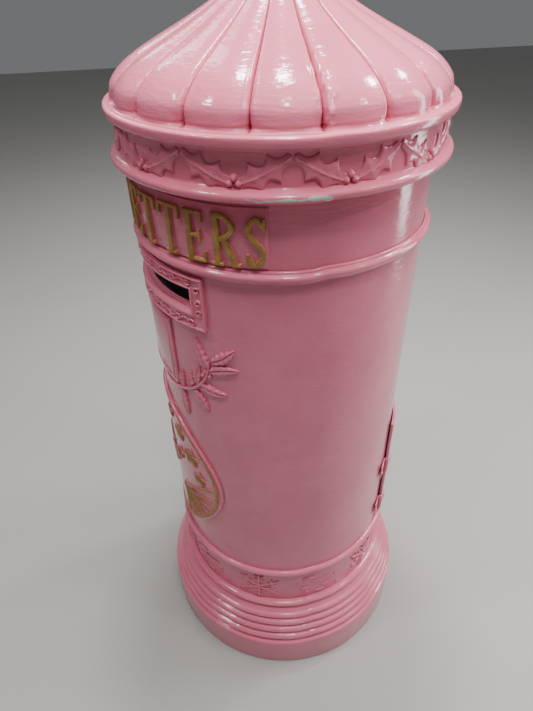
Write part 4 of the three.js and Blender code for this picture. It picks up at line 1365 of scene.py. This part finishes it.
@dataclass
class Medallion:
    """Round medallion: pink plate, gold rim, star, and a fan of rays on each side."""

    radius: float = 128.0
    middle: float = 371.0
    rim: float = 9.0
    star_points: tuple[float, float] = (46.0, 33.0)
    hub: tuple[float, float] = (55.0, -46.0)
    spread: tuple[float, float] = (38.0, -88.0)
    rays: int = 8
    loose_stars: tuple[tuple[float, float, float], ...] = (
        (86, 44, 16), (62, 74, 14), (34, 94, 12), (98, 10, 12), (56, 28, 11),
    )

    def ring(self, inner: float, outer: float, height: float, place: Placing) -> Shape:
        """Round moulding.

        Formula: a half-round section is carried round a circle in the flat.
        """
        turn = np.linspace(0, 2 * np.pi, 180, endpoint=False)[:, None]
        loop = np.vstack([ROUND_SECTION, [[0.98, -0.15], [-0.98, -0.15]]])
        r = (inner + outer) / 2 + loop[None, :, 0] * (outer - inner) / 2
        proud = np.broadcast_to(loop[None, :, 1] * height, r.shape)
        points = place(r * np.cos(turn), self.middle + r * np.sin(turn), proud)
        return Shape.of(points, grid_quads(180, len(loop), True, True),
                        rise=np.clip(loop[None, :, 1], 0, 1))

    def disc(self, place: Placing) -> Shape:
        """Slightly dished plate with a rolled edge, as rings about its centre."""
        edge = self.radius
        r = np.array([edge, edge, edge - 0.5, edge - 1.3, edge - 2.2, edge - 2.9,
                      110, 90, 70, 50, 30, 12, 0.5])
        proud = np.array([0, 2.6, 3.8, 4.5, 3.9, 2.6, 2.2, 2.1, 2.05, 2.0, 2.0, 2.0, 2.0])
        back = np.array([[0.5, 0], [30, 0], [60, 0], [90, 0], [112, 0]])
        r, proud = np.concatenate([r, back[:, 0]]), np.concatenate([proud, back[:, 1]])
        turn = np.linspace(0, 2 * np.pi, 144, endpoint=False)[:, None]
        across, up = r * np.cos(turn), self.middle + r * np.sin(turn)
        points = place(across, up, np.broadcast_to(proud, across.shape))
        return Shape.of(points, grid_quads(144, len(r), True, True))

    def build(self) -> None:
        """Makes the five pieces."""
        back, face = straight_on(SHAFT_R + 0.35), straight_on(SHAFT_R + 3.0)
        make("medallion_disc", self.disc(back), PILLAR, PINK, ["medallion_plate"])
        outer = self.radius - 2.8
        rim = self.ring(outer - self.rim * 0.5, outer, 1.7, face)
        make("medallion_gold_rim", rim, PILLAR, GOLD, ["medallion_rim"])
        centre = np.array([0.0, self.middle])
        star = []
        for k in range(8):
            turn = math.pi * k / 4
            way = np.array([math.cos(turn), math.sin(turn)])
            tip = centre + way * self.star_points[k % 2]
            star.append(leaf(centre, tip, 13, 2.6 - 0.05 * k, face))
        star.append(bead((0, self.middle), 7, 3.8, face))
        make("medallion_gold_star", joined(star), PILLAR, GOLD, ["medallion_star"])
        for side, word in ((1, "right"), (-1, "left")):
            make(f"medallion_gold_fan_{word}", joined(self.fan(side, face)), PILLAR, GOLD,
                 [f"medallion_fan_{word}"])

    def fan(self, side: int, face: Placing) -> list[Shape]:
        """Straight rays that widen from a hub to just inside the rim, and loose stars above."""
        hub = np.array([self.hub[0], self.middle + self.hub[1]])
        flip = np.array([side, 1.0])
        parts = []
        for turn in np.radians(np.linspace(*self.spread, self.rays)):
            way = np.array([math.cos(turn), math.sin(turn)])
            to_centre = hub - [0, self.middle]
            along = float(way @ to_centre)
            limit = self.radius - 0.7 * self.rim
            reach = -along + math.sqrt(along**2 - float(to_centre @ to_centre) + limit**2)
            line = straight(hub * flip, (hub + way * reach) * flip, 8)
            parts.append(stroke(line, 7.0, 2.3, face, widen=1.5))
        parts.append(bead(hub * flip, 7, 3.0, face))
        for x, z, size in self.loose_stars:
            centre = np.array([x * side, self.middle + z])
            for k in range(5):
                turn = math.pi * (0.5 + 0.4 * k)
                tip = centre + size * np.array([math.cos(turn), math.sin(turn)])
                parts.append(leaf(centre, tip, size * 0.62, 2.2 - 0.04 * k, face))
        return parts


@dataclass
class Sprigs:
    """Leafy spray on each side of the notice panel."""

    stalk: tuple[tuple[float, float], ...] = (
        (12, 544), (27.8, 545), (38.5, 558), (46.4, 582), (50.5, 618),
    )
    leaves: tuple[tuple[tuple[float, float], tuple[float, float]], ...] = (
        ((49, 600), (44.1, 640)), ((50, 612), (61.1, 637)), ((48.6, 596), (62.1, 609)),
        ((43, 572), (56.7, 569)), ((38.5, 560), (47, 530)), ((32, 549), (33.5, 503)),
        ((32.6, 549), (33, 579)), ((36.6, 556), (38.2, 586)), ((42, 568), (44.3, 599)),
    )
    berries: tuple[tuple[float, float], ...] = (
        (47.5, 596), (45.5, 588), (49.2, 590), (41.5, 564), (39.5, 568),
    )
    radius: float = SHAFT_R + 0.1

    def flat(self, side: int, point: tuple[float, float]) -> tuple[float, float]:
        """Distance round the shaft and height of a point of azimuth and height."""
        return side * math.radians(point[0]) * self.radius, point[1]

    def build(self) -> None:
        """Makes the right spray and its mirror image."""
        place = round_shaft(self.radius)
        for side, word in ((1, "right"), (-1, "left")):
            stalk = smooth_line([self.flat(side, point) for point in self.stalk], 48)
            parts = [stroke(stalk, 5.0, 4.0, place)]
            for k, ends in enumerate(self.leaves):
                base, tip = (self.flat(side, end) for end in ends)
                width = min(15.0, 0.4 * math.dist(base, tip))
                parts.append(leaf(base, tip, width, 4.2 - 0.05 * k, place,
                                  bend=0.06 * side * (-1) ** k))
            parts += [bead(self.flat(side, berry), 3.3, 3.6, place) for berry in self.berries]
            make(f"leaf_spray_{word}", joined(parts), PILLAR, PINK, [f"sprig_{word}"])


@dataclass
class RearDoor:
    """Collection door with its gasket, hinges and cam lock."""

    half: float = 31.4
    low: float = 226.0
    high: float = 424.0
    radii: tuple[float, float] = (170.2, 174.2)
    lock_azimuth: float = 202.0
    lock_height: float = 325.0

    def about_lock(self, profile: Sequence[Sequence[float]], columns: int = 48) -> Shape:
        """Ring turned about the lock's axis.

        Args:
            profile: Points of radius and distance from the pillar's axis.
            columns: Steps in the turn.

        Returns:
            The closed ring.
        """
        outline = softened(profile, 0.35, 3)
        turn = np.arange(columns)[:, None] * 2 * np.pi / columns
        across = outline[None, :, 0] * np.cos(turn)
        up = self.lock_height + outline[None, :, 0] * np.sin(turn)
        out = np.radians(self.lock_azimuth)
        reach = np.broadcast_to(outline[None, :, 1], across.shape)
        points = np.stack([reach * np.sin(out) + across * np.cos(out),
                           -reach * np.cos(out) + across * np.sin(out), up], -1)
        return Shape.of(points, grid_quads(columns, len(outline), True, True))

    def build(self) -> None:
        """Makes the door leaf, its border and the lock."""
        panel = plate((180 - self.half, 180 + self.half), (self.low, self.high), self.radii, 1.4)
        place = round_shaft(self.radii[1], 180)
        rail = np.array([[0, -0.4], [0, 0.5], [0.3, 0.9], [0.7, 0.9], [1, 0.5], [1, -0.4]])
        half = math.radians(self.half) * self.radii[1] - 28
        border = framed((half, self.low + 18, self.high - 18), rail, (3, 3, 3), place)
        make("door_leaf", joined([panel, border]), DOOR, PINK, ["rear_door"])
        dress(["door_gasket"], FOAM)
        dress([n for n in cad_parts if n.startswith("hinge_leaf")], HINGE)
        dress([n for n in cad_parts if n.startswith("hinge_pin")], STEEL)
        body = [[5.15, 176.8], [5.15, 150], [8, 150], [8, 174.5], [11, 174.6], [11, 175.8],
                [9.6, 176.8]]
        make("lock_barrel", self.about_lock(body), DOOR, BRASS, ["lock_body"])
        dress(["lock_plug"], BRASS)
        dress(["lock_cam", "lock_keeper"], STEEL)
        for where in ("upper", "lower"):
            self.hinge_screws(where, "wall", PILLAR, (-12.5, 170.5), (-8.5, 8.5))
            self.hinge_screws(where, "door", DOOR, (13.0, 176.1), (0.0,))

    def hinge_screws(self, where: str, part: str, body: str, face: tuple[float, float],
                     shifts: tuple[float, ...]) -> None:
        """Domed screw heads on one hinge leaf.

        Args:
            where: Which hinge.
            part: Which leaf of it.
            body: Body the leaf moves with.
            face: Distance beside the pin, and the leaf's face from the pillar's axis.
            shifts: Heights of the heads from the leaf's middle.
        """
        low, high = node_box(f"hinge_leaf_{part}_{where}")
        away, plane = face
        turn = math.radians(HINGE_AZIMUTH)
        along = np.array([math.cos(turn), math.sin(turn), 0.0])
        out = np.array([math.sin(turn), -math.cos(turn), 0.0])

        def place(across: Array, up: Array, proud: Array) -> Array:
            """Point on the flat face of the leaf."""
            across, up, proud = np.broadcast_arrays(across, up, proud)
            return (across[..., None] * along + (plane + proud)[..., None] * out
                    + up[..., None] * np.array([0, 0, 1.0]))

        middle = (low[2] + high[2]) / 2
        heads = [bead((away, middle + s), 2.6, 1.2, place) for s in shifts]
        make(f"hinge_screws_{part}_{where}", joined(heads), body, STEEL)


@dataclass
class Inside:
    """Letter chute, weather flap, floor and ledge."""

    pin: tuple[float, float] = (-98.0, 709.0)
    roll: tuple[float, float] = (4.0, 2.4)
    hang: float = 54.0

    def build(self) -> None:
        """Makes or dresses each inner piece."""
        dress(["letter_chute", "flap_bracket_right", "flap_bracket_left"], SHEET)
        low, high = node_box("slot_flap")
        self.flap(low, high)
        dress(["flap_pin"], STEEL)
        low, high = node_box("floor_ledge")
        ledge = softened([[152, low[2]], [161.3, low[2]], [161.3, high[2]], [152, high[2]]], 1.0)
        make("floor_ring", turned(ledge, 180), PILLAR, PINK, ["floor_ledge"])
        low, high = node_box("letter_floor")
        board = softened([[0.3, low[2]], [158, low[2]], [158, high[2]], [0.3, high[2]]], 0.4)
        make("ply_floor", turned(board, 120), PILLAR, PLY, ["letter_floor"])

    def flap(self, low: Array, high: Array) -> None:
        """Sheet flap rolled round its pin.

        Formula: one closed section in y and z, a plate that runs into most of a turn round the
        pin, is carried along X.
        """
        pin_z = self.pin[1]
        outer, inner = self.roll
        turn = np.radians(np.linspace(-100, 190, 26))
        arc = np.stack([np.sin(turn), -np.cos(turn)], 1)
        foot = pin_z - self.hang
        sheet = np.array([[-97.5, pin_z - 5.0], [-97.5, foot + 1], [-98.2, foot], [-99.0, foot + 1],
                          [-99.0, pin_z - 5.5]])
        section = np.vstack([np.array(self.pin) + inner * arc[::-1], sheet,
                             np.array(self.pin) + outer * arc])
        x = np.linspace(low[0], high[0], 12)
        points = np.stack(np.broadcast_arrays(x[:, None], section[None, :, 0],
                                              section[None, :, 1]), -1)
        make("weather_flap", capped(points), FLAP, SHEET, ["slot_flap"])


# ------------------------------------------------------------------ studio


@dataclass
class Studio:
    """Floor, lights and camera."""

    eye: tuple[float, float, float] = (0.60966, -0.1252, 0.9818)
    heading: float = 80.4
    pitch: float = 37.27
    roll: float = -1.5
    focal_share: float = 534.2 / 711
    sensor: float = 36.0

    def build(self) -> None:
        """Makes the studio."""
        self.floor()
        self.camera()
        self.area("ceiling", (0.15, 0.2, 2.0), (0.0, 0, 0.8), (1.2, 1.2), 34, mirrored=False)
        spots = (("spot_over", -0.28, 0.06, 0.24, 23), ("spot_near", 0.81, -0.06, 0.14, 8),
                 ("spot_left", 0.18, -1.09, 0.18, 9), ("spot_right", -0.5, 1.45, 0.22, 19),
                 ("spot_far_right", 0.88, 1.43, 0.17, 9))
        for name, x, y, size, power in spots:
            self.area(name, (x, y, 2.3), (0, 0, 0.88), (size, size), power)
        self.area("strip_back", (-1.7, -0.6, 2.2), (0, 0, 0.9), (0.12, 1.4), 4)
        self.area("strip_right", (0.05, 1.5, 0.9), (0, 0, 0.6), (0.28, 1.7), 13)
        world = bpy.context.scene.world or bpy.data.worlds.new("World")
        bpy.context.scene.world = world
        world.use_nodes = True
        sky = next(n for n in world.node_tree.nodes if n.type == "BACKGROUND")
        sky.inputs["Color"].default_value = (0.95, 0.97, 1.0, 1)
        sky.inputs["Strength"].default_value = 0.17

    def floor(self) -> None:
        """Large pale floor."""
        mesh = bpy.data.meshes.new("floor")
        size = 6.0
        corners = [(-size, -size, 0), (size, -size, 0), (size, size, 0), (-size, size, 0)]
        mesh.from_pydata(corners, [], [(0, 1, 2, 3)])
        mesh.materials.append(FloorPaint().material())
        floor = bpy.data.objects.new("floor", mesh)
        bpy.context.scene.collection.objects.link(floor)

    def area(self, name: str, place: Sequence[float], target: Sequence[float],
             size: tuple[float, float], power: float, mirrored: bool = True) -> None:
        """Soft rectangular light aimed at a point, seen in gloss only if mirrored."""
        light = bpy.data.lights.new(name, "AREA")
        light.shape = "RECTANGLE"
        light.size, light.size_y = size
        light.energy = power
        lamp = bpy.data.objects.new(name, light)
        way = Vector(target) - Vector(place)
        aim = way.to_track_quat("-Z", "Y").to_matrix().to_4x4()
        lamp.matrix_world = Matrix.Translation(place) @ aim
        lamp.visible_glossy = mirrored
        bpy.context.scene.collection.objects.link(lamp)

    def camera(self) -> None:
        """Camera looking down at the box's own left side."""
        data = bpy.data.cameras.new("camera")
        data.sensor_fit = "VERTICAL"
        data.sensor_height = self.sensor
        data.lens = self.focal_share * self.sensor
        camera = bpy.data.objects.new("camera", data)
        angles = (math.radians(90 - self.pitch), 0, math.radians(self.heading))
        turn = Euler(angles, "XYZ").to_matrix()
        tilt = Matrix.Rotation(math.radians(self.roll), 3, "Z")
        camera.matrix_world = Matrix.Translation(self.eye) @ (turn @ tilt).to_4x4()
        bpy.context.scene.collection.objects.link(camera)
        bpy.context.scene.camera = camera


def main() -> None:
    """Builds the post box piece by piece, then the studio."""
    logging.basicConfig(level=logging.INFO, format="%(name)s: %(message)s")
    for assembly in (Studio(), Plinth(), Shaft(), Cap(), Screws(), SlotFrame(), Panels(), Legend(),
                     Medallion(), Sprigs(), RearDoor(), Inside()):
        log.info("building %s", type(assembly).__name__)
        assembly.build()


if __name__ == "__main__":
    main()
